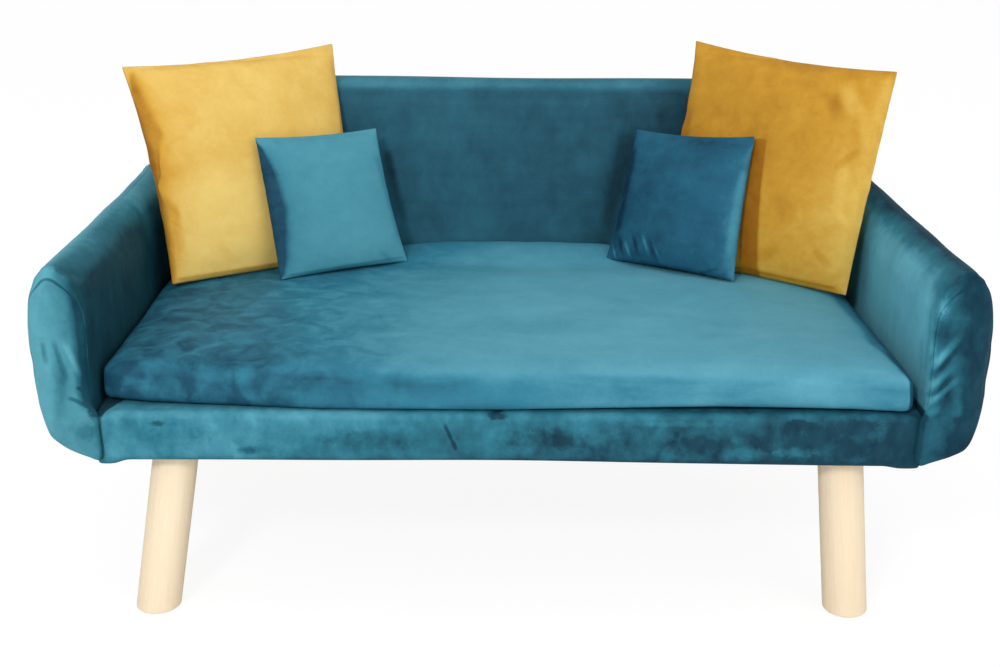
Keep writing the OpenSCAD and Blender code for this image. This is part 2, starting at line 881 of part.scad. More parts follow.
module seat_zip_slider() {
    side = zip_h / 2 + soft_gap;
    color("silver") translate([slider_x - slider_w / 2, 0, zip_z]) {
        translate([0, slider_y, -side - slider_wall])
            cube([slider_w, slider_wall, 2 * (side + slider_wall)]);
        for (z = [-side - slider_wall, side])
            translate([0, zip_y + soft_gap, z])
                cube([slider_w, zip_t + slider_wall, slider_wall]);
        for (x = [0, slider_w - lug_t])
            translate([x, slider_y + slider_wall / 2, -pull_pin_dia])
                cube([lug_t, pull_y - slider_y - slider_wall / 2 + pull_pin_dia, 2 * pull_pin_dia]);
        translate([lug_t / 2, pull_y, 0])
            rotate([0, 90, 0])
                cylinder(h = slider_w - lug_t, d = pull_pin_dia);
    }
}

module seat_zip_pull() {
    color("silver") translate([slider_x, pull_y, zip_z])
        difference() {
            union() {
                rotate([0, 90, 0])
                    cylinder(h = pull_w, d = pull_eye_dia, center = true);
                translate([-pull_w / 2, -pull_t / 2, -pull_l])
                    cube([pull_w, pull_t, pull_l]);
            }
            rotate([0, 90, 0])
                cylinder(h = pull_w + overrun, d = pull_pin_dia + 2 * drill_gap, center = true);
        }
}

// Throw cushions

// One face of a square cushion that is fullest in the middle and drawn in between its corners
function pillow_face(half, rise, cells) =
    [for (i = [0:cells], j = [0:cells])
        let (s = quarter * (2 * i / cells - 1), t = quarter * (2 * j / cells - 1), u = sin(s), v = sin(t),
            low = draw_share + (low_draw_share - draw_share) * max(0, -v),
            seam = i == 0 || j == 0 || i == cells || j == cells)
        [half * u * (1 - draw_share * (1 - v * v)), half * v * (1 - low * (1 - u * u)),
            seam ? 0 : rise * pow(cos(s) * cos(t), fullness_power)]];

function front_id(i, j, cells) = i * (cells + 1) + j;

// The rear face shares the points along the seam
function rear_id(i, j, cells) =
    i == 0 || j == 0 || i == cells || j == cells ? front_id(i, j, cells)
        : (cells + 1) * (cells + 1) + (i - 1) * (cells - 1) + j - 1;

// Two facets of one cell, split by the diagonal that runs toward the nearest corner
function cell_facets(a, b, c, d, even) = even ? [[a, b, c], [a, c, d]] : [[a, b, d], [b, c, d]];

function pillow_facets(cells) =
    [for (i = [0:cells - 1], j = [0:cells - 1])
        let (n = cells, even = (i < n / 2) == (j < n / 2))
        for (f = concat(
            cell_facets(front_id(i, j, n), front_id(i, j + 1, n), front_id(i + 1, j + 1, n),
                front_id(i + 1, j, n), even),
            [for (g = cell_facets(rear_id(i, j, n), rear_id(i, j + 1, n), rear_id(i + 1, j + 1, n),
                rear_id(i + 1, j, n), even)) reversed(g)]))
            f];

module pillow_form(side, full, cells, seam, shrink) {
    front = pillow_face(side / 2 - seam, full / 2 - shrink, cells);
    rear = [for (i = [1:cells - 1], j = [1:cells - 1])
        let (p = front[front_id(i, j, cells)])
        [p[0], p[1], -p[2]]];
    polyhedron(concat(front, rear), pillow_facets(cells), convexity = 4);
}

// Middle of a throw cushion's lower edge, with that edge resting on the seat cushion; the edge rises
// a little between its corners, where the cushion is drawn in
function pillow_foot(place, angles, side) =
    let (x = place[0] * base_half, y = front_y + place[1] * base_d,
        run = [side / 2 * cos(angles[0]), side / 2 * sin(angles[0])],
        rests = [for (i = [0:foot_cells])
            let (u = 2 * i / foot_cells - 1)
            seat_top_z(x + u * run[0], y + u * run[1]) - low_draw_share * side / 2 * (1 - u * u)])
    [x, y, max(rests) + soft_gap];

module leaning_pillow(place, angles, side) {
    translate(pillow_foot(place, angles, side))
        rotate([0, 0, angles[0]])
            rotate([quarter - angles[1], 0, 0])
                translate([0, side / 2, 0])
                    children();
}

module pillow_cover(side, full, cells) {
    difference() {
        pillow_form(side, full, cells, 0, 0);
        pillow_form(side, full, cells, pillow_seam, cover_t);
    }
}

module pillow_filling(side, full, cells) {
    pillow_form(side, full, cells, pillow_seam + soft_gap, foam_in);
}

module big_left_cover() {
    color("goldenrod") leaning_pillow(big_left_place_shares, big_left_turn, big_side_left)
        pillow_cover(big_side_left, big_t, big_cells);
}

module big_left_filling() {
    color("white") leaning_pillow(big_left_place_shares, big_left_turn, big_side_left)
        pillow_filling(big_side_left, big_t, big_cells);
}

module big_right_cover() {
    color("goldenrod") leaning_pillow(big_right_place_shares, big_right_turn, big_side_right)
        pillow_cover(big_side_right, big_t, big_cells);
}

module big_right_filling() {
    color("white") leaning_pillow(big_right_place_shares, big_right_turn, big_side_right)
        pillow_filling(big_side_right, big_t, big_cells);
}

module small_left_cover() {
    color("steelblue") leaning_pillow(small_left_place_shares, small_left_turn, small_side_left)
        pillow_cover(small_side_left, small_t, small_cells);
}

module small_left_filling() {
    color("white") leaning_pillow(small_left_place_shares, small_left_turn, small_side_left)
        pillow_filling(small_side_left, small_t, small_cells);
}

module small_right_cover() {
    color("steelblue") leaning_pillow(small_right_place_shares, small_right_turn, small_side_right)
        pillow_cover(small_side_right, small_t, small_cells);
}

module small_right_filling() {
    color("white") leaning_pillow(small_right_place_shares, small_right_turn, small_side_right)
        pillow_filling(small_side_right, small_t, small_cells);
}

front_rail();
rear_rail();
side_rail_left();
side_rail_right();
centre_rail();
leg_blocks();
seat_deck();
frame_screws();
deck_screws();
leg_front_left();
leg_front_right();
leg_rear_left();
leg_rear_right();
hanger_bolts();
leg_inserts();
floor_glides();
base_pad();
base_cover();
dust_cover();
dust_cover_staples();
arm_core_left();
arm_core_right();
arm_batten_left();
arm_batten_right();
arm_foam_left();
arm_foam_right();
arm_cover_left();
arm_cover_right();
arm_bolts();
arm_washers();
arm_t_nuts();
back_core();
back_batten();
back_foam();
back_cover();
back_bolts();
back_washers();
back_t_nuts();
seat_foam();
seat_cover();
seat_zip();
seat_zip_slider();
seat_zip_pull();
big_left_cover();
big_left_filling();
big_right_cover();
big_right_filling();
small_left_cover();
small_left_filling();
small_right_cover();
small_right_filling();
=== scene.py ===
# %% [markdown]
# # A raised sofa bed for a small dog
# This file dresses a finished construction model. The wooden frame, the legs and every bolt come
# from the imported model, which stays where it is. What the eye meets on the real sofa is velvet over
# foam, so each covered piece is built here again as cloth: panels with seams, folds and a nap.

import math

import bpy
import numpy as np
from mathutils import Matrix, Vector


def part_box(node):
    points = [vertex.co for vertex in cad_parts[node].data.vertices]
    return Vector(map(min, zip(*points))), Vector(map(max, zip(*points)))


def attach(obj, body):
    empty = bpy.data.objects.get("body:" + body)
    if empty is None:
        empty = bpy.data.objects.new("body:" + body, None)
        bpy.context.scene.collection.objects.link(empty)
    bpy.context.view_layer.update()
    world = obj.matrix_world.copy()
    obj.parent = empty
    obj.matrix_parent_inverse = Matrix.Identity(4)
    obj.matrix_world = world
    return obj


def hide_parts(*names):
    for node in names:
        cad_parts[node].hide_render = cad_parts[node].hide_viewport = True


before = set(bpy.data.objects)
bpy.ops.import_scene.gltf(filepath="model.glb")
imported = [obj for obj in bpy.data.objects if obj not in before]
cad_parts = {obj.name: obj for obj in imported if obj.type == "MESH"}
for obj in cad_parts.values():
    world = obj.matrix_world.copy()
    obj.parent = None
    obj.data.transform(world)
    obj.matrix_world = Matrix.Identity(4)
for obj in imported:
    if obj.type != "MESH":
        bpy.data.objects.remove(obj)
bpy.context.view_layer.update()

# %% [markdown]
# ## The camera
# The photo was taken from just above the sofa, a little to the left of its middle, looking down.
# The camera's place and angles were fitted to the straight edges of the base, arms and legs. It is
# made first, because everything else is judged through it.

# %% Camera
PHOTO_WIDTH = 1000
FOCAL_PIXELS = 1400
SENSOR = 36.0
camera_at = Vector((-0.01835, -1.66170, 0.83393))
camera_yaw = math.radians(0.29291)
camera_pitch = math.radians(19.40226)
camera_roll = math.radians(-0.45514)


def camera_axes():
    """The camera's right, up and backward directions."""
    sin, cos = math.sin(camera_yaw), math.cos(camera_yaw)
    near = math.cos(camera_pitch)
    ahead = Vector((sin * near, cos * near, -math.sin(camera_pitch)))
    level = Vector((cos, -sin, 0))
    below = ahead.cross(level)
    across = math.cos(camera_roll) * level + math.sin(camera_roll) * below
    down = math.cos(camera_roll) * below - math.sin(camera_roll) * level
    return across, -down, -ahead


lens = bpy.data.cameras.new("camera")
lens.sensor_width = SENSOR
lens.lens = FOCAL_PIXELS / PHOTO_WIDTH * SENSOR
lens.clip_end = 50
camera = bpy.data.objects.new("camera", lens)
bpy.context.scene.collection.objects.link(camera)
camera.matrix_world = Matrix.Translation(camera_at) @ Matrix(camera_axes()).transposed().to_4x4()
bpy.context.scene.camera = camera
bpy.context.scene.view_settings.view_transform = "Standard"
print("lens", round(lens.lens, 2), "mm")

# %% [markdown]
# ## Light, floor and background
# The photo shows the sofa cut out on white under broad, soft light, a little stronger from the left
# and above, which throws soft shadows to the right of the small cushions. A fairly small lamp at the
# left front does that. Two wide, weaker ones fill from the right and from above, and the world fills
# the rest. The floor is white to the camera and an ordinary pale surface to the light, so it keeps a
# faint shadow.

# %% Lamps
def soft_lamp(name, place, target, size, power):
    """A square lamp that shines from its place toward a target."""
    lamp = bpy.data.lights.new(name, "AREA")
    lamp.shape = "SQUARE"
    lamp.size = size
    lamp.energy = power
    holder = bpy.data.objects.new(name, lamp)
    bpy.context.scene.collection.objects.link(holder)
    holder.location = place
    holder.rotation_euler = (Vector(target) - Vector(place)).to_track_quat("-Z", "Y").to_euler()


sofa_middle = (0.0, 0.0, 0.35)
soft_lamp("key_lamp", (-0.75, -2.3, 1.75), sofa_middle, size=0.40, power=28)
soft_lamp("fill_lamp", (1.9, -2.4, 1.5), sofa_middle, size=2.2, power=22)
soft_lamp("top_lamp", (0.0, -0.6, 2.9), sofa_middle, size=2.0, power=10)

# %% [markdown]
# ## Sums on sockets
# A material is a graph of nodes. Written out node by node it hides what it means, so one small
# class wraps a socket and lets sums be written as sums. A number goes through a Math node, a vector
# through a Vector Math node, and every other node comes from one method. A finish also draws what the
# photo shows: spots and soft strokes at places on the piece.

# %% The socket class and the finish class
RAGGED = 1.3


def arithmetic(operation, swapped=False):
    """A wire's method that puts it and the other side through one node."""

    def method(self, other):
        return self.finish.maths(operation, *((other, self) if swapped else (self, other)))

    return method


class Wire:
    """One output socket in a finish, with arithmetic."""

    def __init__(self, finish, socket):
        self.finish = finish
        self.socket = socket

    __add__, __radd__ = arithmetic("ADD"), arithmetic("ADD", True)
    __sub__, __rsub__ = arithmetic("SUBTRACT"), arithmetic("SUBTRACT", True)
    __mul__, __rmul__ = arithmetic("MULTIPLY"), arithmetic("MULTIPLY", True)
    __truediv__, __rtruediv__ = arithmetic("DIVIDE"), arithmetic("DIVIDE", True)

    def clamped(self):
        return self.finish.node("ShaderNodeClamp", {}, {"Value": self, "Min": 0.0, "Max": 1.0})

    def part(self, axis):
        """One number of a vector: X, Y or Z."""
        return self.finish.node("ShaderNodeSeparateXYZ", {}, {"Vector": self}, axis)


class Finish:
    """A material with its own node graph."""

    def __init__(self, name):
        self.material = bpy.data.materials.new(name)
        self.material.use_nodes = True
        self.tree = self.material.node_tree
        self.tree.nodes.clear()
        self.places = None
        self.grain = None
        self.edge_noise = None

    def node(self, kind, settings=None, values=None, output=0):
        """Adds a node: its settings first, then its sockets' values or links."""
        made = self.tree.nodes.new(kind)
        for key, value in (settings or {}).items():
            if key == "stops":
                self.set_stops(made.color_ramp, value)
            else:
                setattr(made, key, value)
        for key, value in (values or {}).items():
            socket = made.inputs[key]
            if isinstance(value, Wire):
                self.tree.links.new(value.socket, socket)
            else:
                socket.default_value = value
        return Wire(self, made.outputs[output]) if len(made.outputs) else None

    @staticmethod
    def set_stops(ramp, stops):
        """Colour stops as (place, colour), in order."""
        while len(ramp.elements) < len(stops):
            ramp.elements.new(1.0)
        for element, (place, colour) in zip(ramp.elements, stops):
            element.position = place
            element.color = colour

    def maths(self, operation, first, second):
        """A Math node, or a Vector Math node where a side is a vector."""
        sides = [first, second]
        vector = any(isinstance(s, Wire) and s.socket.type == "VECTOR" for s in sides)
        kind = "ShaderNodeVectorMath" if vector else "ShaderNodeMath"
        return self.node(kind, {"operation": operation}, dict(enumerate(sides)))

    def vector_maths(self, operation, values, output="Vector"):
        """A Vector Math node that isn't a plain sum."""
        return self.node("ShaderNodeVectorMath", {"operation": operation}, values, output)

    def where(self, output="Object"):
        """Places on the piece itself, or its own normals."""
        if self.places is None:
            self.places = self.tree.nodes.new("ShaderNodeTexCoord")
        if output == "Object" and self.grain is not None:
            return self.grain
        return Wire(self, self.places.outputs[output])

    def turn_grain(self, foot, tilt):
        """Measures places from a foot, along a tilted piece."""
        values = {"Vector": self.where(), "Location": foot, "Rotation": tilt}
        self.grain = self.node("ShaderNodeMapping", {"vector_type": "TEXTURE"}, values)

    def toward(self, direction):
        """How far the surface faces a direction: 1 toward it, -1 away."""
        own = {0: self.where("Normal"), 1: tuple(Vector(direction).normalized())}
        return self.vector_maths("DOT_PRODUCT", own, "Value")

    def noise(self, scale, detail=3.0, stretch=(1, 1, 1), shift=(0, 0, 0), distortion=0.0):
        """Soft noise about 0, from -0.5 to 0.5, stretched along the axes."""
        values = {"Vector": self.where(), "Scale": stretch, "Location": shift}
        places = self.node("ShaderNodeMapping", {}, values)
        values = {"Vector": places, "Scale": scale, "Detail": detail, "Distortion": distortion}
        return self.node("ShaderNodeTexNoise", {}, values) - 0.5

    def between(self, low, high, value, first=0.0, last=1.0):
        """The first result below low, the last above high, smooth between; high may be the lower one."""
        values = {"Value": value, "From Min": low, "From Max": high, "To Min": first, "To Max": last}
        return self.node("ShaderNodeMapRange", {"interpolation_type": "SMOOTHSTEP"}, values)

    def along(self, axis, low, high):
        """0 to 1 between two places along an axis."""
        return self.between(low, high, self.where().part(axis))

    def facing(self, direction, low, high):
        """0 to 1 between two shares of facing a direction."""
        return self.between(low, high, self.toward(direction))

    def distance(self, value, middle):
        """How far a number lies from a middle, on either side."""
        return self.node("ShaderNodeMath", {"operation": "ABSOLUTE"}, {0: value - middle})

    def mark(self, middle, size):
        """A soft spot, for rubbed places and for painted light and shade: 1 in its middle and 0 outside its
        size, with a ragged edge.
        """
        if self.edge_noise is None:
            self.edge_noise = self.noise(150.0, 5.0, shift=(3, 5, 7), distortion=0.5)
        away = (self.where() - middle) / size
        far = self.vector_maths("LENGTH", {0: away}, "Value")
        return self.between(1.15, 0.25, far + self.edge_noise * RAGGED)

    def line(self, start, end, width, squeeze=(1, 1, 1), fade=0.25):
        """A soft stroke from one place to another: 1 on the line and 0 outside its width."""
        run = Vector(end) - Vector(start)
        away = (self.where() - start) * squeeze
        unit = {0: away, 1: tuple(run / run.length_squared)}
        along = self.vector_maths("DOT_PRODUCT", unit, "Value").clamped()
        foot = self.vector_maths("SCALE", {0: tuple(run), "Scale": along})
        far = self.vector_maths("LENGTH", {0: away - foot}, "Value")
        ends = self.between(0.0, fade, along) * self.between(1.0, 1 - fade, along)
        return self.between(width, width * 0.15, far) * ends

    def strokes(self, lines, squeeze):
        """Several soft strokes laid over each other; a dark one has a negative strength."""
        tone = 0.0
        for start, end, width, strength, *fade in lines:
            tone = self.line(start, end, width, squeeze, *fade) * strength + tone
        return tone

    def blend(self, amount, first, second):
        """A colour between two colours."""
        sides = {"Factor": amount, 6: first, 7: second}
        return self.node("ShaderNodeMix", {"data_type": "RGBA"}, sides, 2)

    def bump(self, height, distance):
        """A normal that follows a height in metres times distance."""
        return self.node("ShaderNodeBump", {}, {"Height": height, "Distance": distance})

    def two_toned(self, tone, pale, dark, roughness, height, depth, **values):
        """Two colours mixed by a tone, over a fine relief."""
        values["Base Color"] = self.blend(tone.clamped(), rgb(pale), rgb(dark))
        values["Roughness"] = roughness.clamped()
        values["Normal"] = self.bump(height, depth)
        return self.surface(values)

    def surface(self, values):
        """The shader and the output. Plain numbers stay on the shader's own sockets."""
        shader = self.node("ShaderNodeBsdfPrincipled", {}, values)
        self.node("ShaderNodeOutputMaterial", {}, {"Surface": shader})
        return self.material


def rgb(code):
    """A colour written as six hexadecimal digits, as the linear values a shader needs."""
    parts = [int(code[i : i + 2], 16) / 255 for i in (0, 2, 4)]
    linear = [p / 12.92 if p <= 0.04045 else ((p + 0.055) / 1.055) ** 2.4 for p in parts]
    return (*linear, 1.0)


# %% World and floor
world = bpy.data.worlds.new("studio")
bpy.context.scene.world = world
world.use_nodes = True
world.node_tree.nodes.clear()
WORLD_LIGHT = 0.66
WHITE = (1.0, 1.0, 1.0, 1.0)


def seen_directly(tree):
    """1 for rays from the camera, or from a mirror or glass."""
    path = tree.nodes.new("ShaderNodeLightPath")
    total = tree.nodes.new("ShaderNodeMath")
    total.operation = "MAXIMUM"
    tree.links.new(path.outputs["Is Camera Ray"], total.inputs[0])
    tree.links.new(path.outputs["Is Transmission Ray"], total.inputs[1])
    return total.outputs[0]


sky = world.node_tree.nodes.new("ShaderNodeBackground")
sky.inputs["Color"].default_value = WHITE
strength = world.node_tree.nodes.new("ShaderNodeMapRange")
strength.inputs["To Min"].default_value = WORLD_LIGHT
strength.inputs["To Max"].default_value = 1.0
world.node_tree.links.new(seen_directly(world.node_tree), strength.inputs["Value"])
world.node_tree.links.new(strength.outputs["Result"], sky.inputs["Strength"])
world_out = world.node_tree.nodes.new("ShaderNodeOutputWorld")
world.node_tree.links.new(sky.outputs["Background"], world_out.inputs["Surface"])

FLOOR_REACH = 9.0
FLOOR_WHITENESS = 0.84
SEEN_WHITE = 1.06


def floor_finish():
    """A pale matt floor that the camera sees almost white, with the shadow kept faintly."""
    finish = Finish("floor_paper")
    path = Wire(finish, seen_directly(finish.tree))
    paper = finish.node("ShaderNodeBsdfDiffuse", {}, {"Color": rgb("F4F4F4")})
    white = finish.node("ShaderNodeEmission", {}, {"Color": WHITE, "Strength": SEEN_WHITE})
    mixed = finish.node("ShaderNodeMixShader", {}, {0: path * FLOOR_WHITENESS, 1: paper, 2: white})
    finish.node("ShaderNodeOutputMaterial", {}, {"Surface": mixed})
    return finish.material


def link(name, points, faces):
    """A mesh object from points and faces, smooth shaded."""
    mesh = bpy.data.meshes.new(name)
    mesh.from_pydata([tuple(p) for p in points], [], [tuple(f) for f in faces])
    mesh.validate()
    mesh.shade_smooth()
    piece = bpy.data.objects.new(name, mesh)
    bpy.context.scene.collection.objects.link(piece)
    return piece


floor_corners = [(x * FLOOR_REACH, y * FLOOR_REACH, 0) for x, y in ((-1, -1), (1, -1), (1, 1), (-1, 1))]
floor = link("floor", floor_corners, [(0, 1, 2, 3)])
floor.data.materials.append(floor_finish())
print("floor and world ready")

# %% [markdown]
# ## Cloth in code
# Every covered piece but the base follows the same steps. A closed form is built with even faces.
# Blender's cloth simulation fills it with air, as the foam inside fills the real cover, and the
# movement is capped so that the piece keeps its size. Seams, folds and gathers come after, as small
# moves of the points along their normals, because an inflated cover would iron them out.

# %% Reading and moving points
def triples(source, key):
    """Three numbers of each thing in a list, as rows."""
    flat = np.empty(len(source) * 3)
    source.foreach_get(key, flat)
    return flat.reshape(-1, 3)


def points_of(piece):
    return triples(piece.data.vertices, "co")


def normals_of(piece):
    return triples(piece.data.vertex_normals, "vector")


def set_points(piece, points):
    piece.data.vertices.foreach_set("co", np.asarray(points, float).ravel())
    piece.data.update()


def settle(piece):
    """Applies the piece's modifiers, so that its own mesh is what shows."""
    graph = bpy.context.evaluated_depsgraph_get()
    mesh = bpy.data.meshes.new_from_object(piece.evaluated_get(graph))
    piece.modifiers.clear()
    old = piece.data
    piece.data = mesh
    mesh.name = piece.name
    bpy.data.meshes.remove(old)
    mesh.shade_smooth()
    return piece


def finer(piece):
    """One more level of faces, rounded."""
    fine = piece.modifiers.new("finer", "SUBSURF")
    fine.levels = fine.render_levels = 1
    return settle(piece)


def smoothed(piece, factor, passes, group=""):
    """Evens the faces out; only inside a vertex group, if one is named."""
    smooth = piece.modifiers.new("smooth", "SMOOTH")
    smooth.factor, smooth.iterations, smooth.vertex_group = factor, passes, group


def weighted_group(piece, name, weights):
    """A vertex group with four steps of weight."""
    group = piece.vertex_groups.new(name=name)
    for weight in (0.25, 0.5, 0.75, 1.0):
        chosen = np.nonzero((weights > weight - 0.25) & (weights <= weight))[0]
        group.add([int(i) for i in chosen], weight, "REPLACE")


def fill_with_air(piece, pressure, cap, frames, stiffness=15.0, bending=0.5, held=None):
    """Blows a sewn cover up with the cloth simulation; no point moves further than the cap."""
    rest = points_of(piece)
    cloth = piece.modifiers.new("filling", "CLOTH")
    fabric = cloth.settings
    fabric.quality, fabric.mass = 5, 0.3
    fabric.tension_stiffness = fabric.compression_stiffness = stiffness
    fabric.shear_stiffness, fabric.bending_stiffness = stiffness / 2, bending
    fabric.use_pressure, fabric.uniform_pressure_force = True, pressure
    fabric.effector_weights.gravity = 0.0
    if held is not None:
        weighted_group(piece, "held", held)
        fabric.vertex_group_mass = "held"
    cloth.point_cache.frame_start = 1
    cloth.point_cache.frame_end = frames
    for moment in range(1, frames + 1):
        bpy.context.scene.frame_set(moment)
    settle(piece)
    bpy.context.scene.frame_set(1)
    moved = points_of(piece) - rest
    far = np.linalg.norm(moved, axis=1, keepdims=True)
    moved *= np.minimum(1.0, cap / np.maximum(far, 1e-9))
    set_points(piece, rest + moved)
    print(f"{piece.name}: air moved it {far.mean() * 1000:.1f} mm on average, cap {cap * 1000:.0f}")
    return piece


def step(low, high, value):
    """0 below low, 1 above high, smooth in between."""
    share = np.clip((value - low) / (high - low), 0, 1)
    return share * share * (3 - 2 * share)


def fold(points, start, end, width, height):
    """The height of one fold at each point: a ridge from start to end that dies out at its ends."""
    start, end = np.array(start), np.array(end)
    along = end - start
    share = np.clip((points - start) @ along / (along @ along), 0, 1)
    off = np.linalg.norm(points - start - share[:, None] * along, axis=1)
    taper = np.sin(np.pi * np.clip(0.08 + 0.84 * share, 0, 1))
    return height * taper * np.exp(-((off / width) ** 2))


def laid(rows, place):
    """Folds or strokes written in millimetres: start and end on a plane, width, and what follows."""
    for x, z, end_x, end_z, width, *rest in rows:
        yield place(x / 1000, z / 1000), place(end_x / 1000, end_z / 1000), width / 1000, *rest


def crumple(points, scale, depth, seed):
    """Slow random swells, made of a few seeded waves."""
    source = np.random.default_rng(seed)
    total = np.zeros(len(points))
    for _ in range(9):
        way = source.normal(size=3)
        way *= 2 * np.pi / scale / np.linalg.norm(way) * source.uniform(0.6, 1.5)
        total += np.sin(points @ way + source.uniform(0, 2 * np.pi))
    return depth * total / 3


# %% Building forms
def wave_through(shares, count):
    """A smooth closed line through a list of points, with count points evenly spread."""
    knots = np.array(shares, float)
    size = len(knots)
    fine = []
    for i in range(size):
        a, b, c, d = (knots[(i + k - 1) % size] for k in range(4))
        for t in np.linspace(0, 1, 12, endpoint=False):
            slope, bend = (c - a) * t, (2 * a - 5 * b + 4 * c - d) * t**2
            fine.append(0.5 * (2 * b + slope + bend + (3 * b - a - 3 * c + d) * t**3))
    fine = np.array(fine + fine[:1])
    run = np.concatenate([[0], np.cumsum(np.linalg.norm(np.diff(fine, axis=0), axis=1))])
    at = np.linspace(0, run[-1], count, endpoint=False)
    return np.stack([np.interp(at, run, fine[:, k]) for k in range(fine.shape[1])], axis=1)


def skin(rings, columns=0):
    """Points and faces of a stack of equal rings, closed by a fan or by rungs across each end."""
    count = len(rings[0])
    points = np.concatenate(rings)
    faces = []
    for r in range(len(rings) - 1):
        for k in range(count):
            n = (k + 1) % count
            faces.append((r * count + k, r * count + n, (r + 1) * count + n, (r + 1) * count + k))
    last = (len(rings) - 1) * count
    if columns:
        for start, flip in ((0, True), (last, False)):
            points, more = rungs(points, start, count, columns, flip)
            faces += more
    else:
        points = np.concatenate([points, [rings[0].mean(0)], [rings[-1].mean(0)]])
        tip = len(points) - 2
        for k in range(count):
            n = (k + 1) % count
            faces.append((n, k, tip))
            faces.append((last + k, last + n, tip + 1))
    return points, faces


def rungs(points, start, count, columns, flip):
    """Fills a ring with rows of cells that run from one of its sides to the other."""
    half = count // 2
    new, rows = [], []
    for k in range(1, half):
        one, two = start + k, start + count - k
        row = [one]
        for c in range(1, columns):
            row.append(len(points) + len(new))
            new.append(points[one] + (points[two] - points[one]) * c / columns)
        rows.append(row + [two])
    faces = []
    for low, high in zip(rows, rows[1:]):
        faces += [(low[c], high[c], high[c + 1], low[c + 1]) for c in range(columns)]
    faces += [(start, rows[0][c], rows[0][c + 1]) for c in range(columns)]
    faces += [(start + half, rows[-1][c + 1], rows[-1][c]) for c in range(columns)]
    if flip:
        faces = [f[::-1] for f in faces]
    return np.concatenate([points, new]), faces


def block_faces(cells):
    """The surface grid of a block, as points from -1 to 1 and faces that look outward."""
    index, points, faces = {}, [], []

    def number(place):
        if place not in index:
            index[place] = len(points)
            points.append([2 * place[k] / cells[k] - 1 for k in range(3)])
        return index[place]

    for axis in range(3):
        u, v = (axis + 1) % 3, (axis + 2) % 3
        for side in (0, cells[axis]):
            for i in range(cells[u]):
                for j in range(cells[v]):
                    ring = []
                    for du, dv in ((0, 0), (1, 0), (1, 1), (0, 1)):
                        place = [0, 0, 0]
                        place[axis], place[u], place[v] = side, i + du, j + dv
                        ring.append(number(tuple(place)))
                    faces.append(ring if side else ring[::-1])
    return np.array(points), faces


def soft_block(unit, half, corner):
    """A block's grid with its edges rounded; corner holds a radius along each axis."""
    half, corner = np.array(half), np.array(corner)
    square = unit * half
    inner = np.clip(square, corner - half, half - corner)
    out = (square - inner) / corner
    reach = np.abs(out).max(1, keepdims=True)
    length = np.maximum(np.linalg.norm(out, axis=1, keepdims=True), 1e-9)
    return inner + corner * out * reach / length


# %% [markdown]
# ## Velvet
# Velvet looks light or dark by the way its pile lies to the lamp. The real sofa shows it: the left
# arm is light on its front and almost black on its inner side, and the mustard cushions darken along
# one edge. Here that light and shade is painted into the colour: each piece has a chosen direction,
# faces turned toward it take the light colour and faces turned away the dark one. Slow smudges,
# brushed streaks and a fine fibre grain are laid over that, and the shader's sheen gives the pale rim.
# The tone is held between a floor and a ceiling that carry some mottling, so that no part turns flat.

# %% Velvet finish
FIBRE_SCALE = 1500.0
FIBRE_DEPTH = 0.00025
TONE_FLOOR = 0.07
TONE_CEILING = 0.95
HOLLOW_SHADE = "06161C"


def velvet(name, dark, middle, light, lie, lie_share=0.5, start=0.5, smudge=0.5, seed=0, extra=None,
           sheen=0.12, sheen_colour="6FB4C4", streak_stretch=(7, 7, 30), roughness=0.66, shine=0.12,
           deep=None, grain_frame=None):
    """A pile fabric whose tone follows the way its surface faces: painted light and shade."""
    finish = Finish(name)
    if grain_frame is not None:
        finish.turn_grain(*grain_frame)
    shift = (seed * 1.7, seed * 0.9, seed * 2.3)
    clouds = finish.noise(7.0, 3.0, shift=shift, distortion=0.3)
    blots = finish.noise(26.0, 5.0, shift=shift, distortion=0.4)
    strokes = finish.noise(75.0, 4.0, stretch=(1, 1, 0.5), shift=shift, distortion=0.6)
    streaks = finish.noise(1.6, 3.0, stretch=streak_stretch, shift=shift, distortion=0.4)
    grain = finish.noise(FIBRE_SCALE / 6, 2.0, shift=shift)
    # Painted light and shade: faces turned toward the chosen direction take a lighter tone.
    tone = start + finish.toward(lie) * lie_share
    tone = tone + clouds * (1.4 * smudge) + blots * (1.0 * smudge) + strokes * (0.55 * smudge)
    tone = tone + streaks * (0.45 * smudge) + grain * 0.10
    if extra is not None:
        tone = tone + extra(finish)
    mottle = blots * 0.20 + strokes * 0.20
    tone = finish.maths("MAXIMUM", tone, mottle + TONE_FLOOR)
    tone = finish.maths("MINIMUM", tone, mottle + TONE_CEILING).clamped()
    stops = [(0.0, rgb(dark)), (0.5, rgb(middle)), (1.0, rgb(light))]
    colour = finish.node("ShaderNodeValToRGB", {"stops": stops}, {"Fac": tone})
    # Painted shadow: where deep is given, its mask darkens the colour toward HOLLOW_SHADE.
    if deep is not None:
        colour = finish.blend(deep(finish), colour, rgb(HOLLOW_SHADE))
    fibres = finish.noise(FIBRE_SCALE, 1.0, shift=shift)
    rubbed = finish.noise(120.0, 3.0, shift=shift)
    relief = finish.bump(fibres + rubbed * 0.8, FIBRE_DEPTH)
    rough = (roughness - tone * 0.12 + rubbed * 0.08).clamped()
    return finish.surface(
        {
            "Base Color": colour, "Roughness": rough, "Normal": relief, "Specular IOR Level": shine,
            "Sheen Weight": sheen, "Sheen Roughness": 0.32, "Sheen Tint": rgb(sheen_colour),
        }
    )


# %% [markdown]
# ## The arms
# Each arm is a padded board: an upright leaf shape seen from the front, thickest a little over half
# its height, drawn in toward its foot, and cut behind to meet the leaning back. Its front is closed by
# a facing panel that is sewn on a centimetre behind the front. At its foot the facing wraps a little
# over the end of the base's front. The two real arms differ: the right one has a squarer foot. The
# form is a stack of rings along the arm, close together where the seam will be sunk.

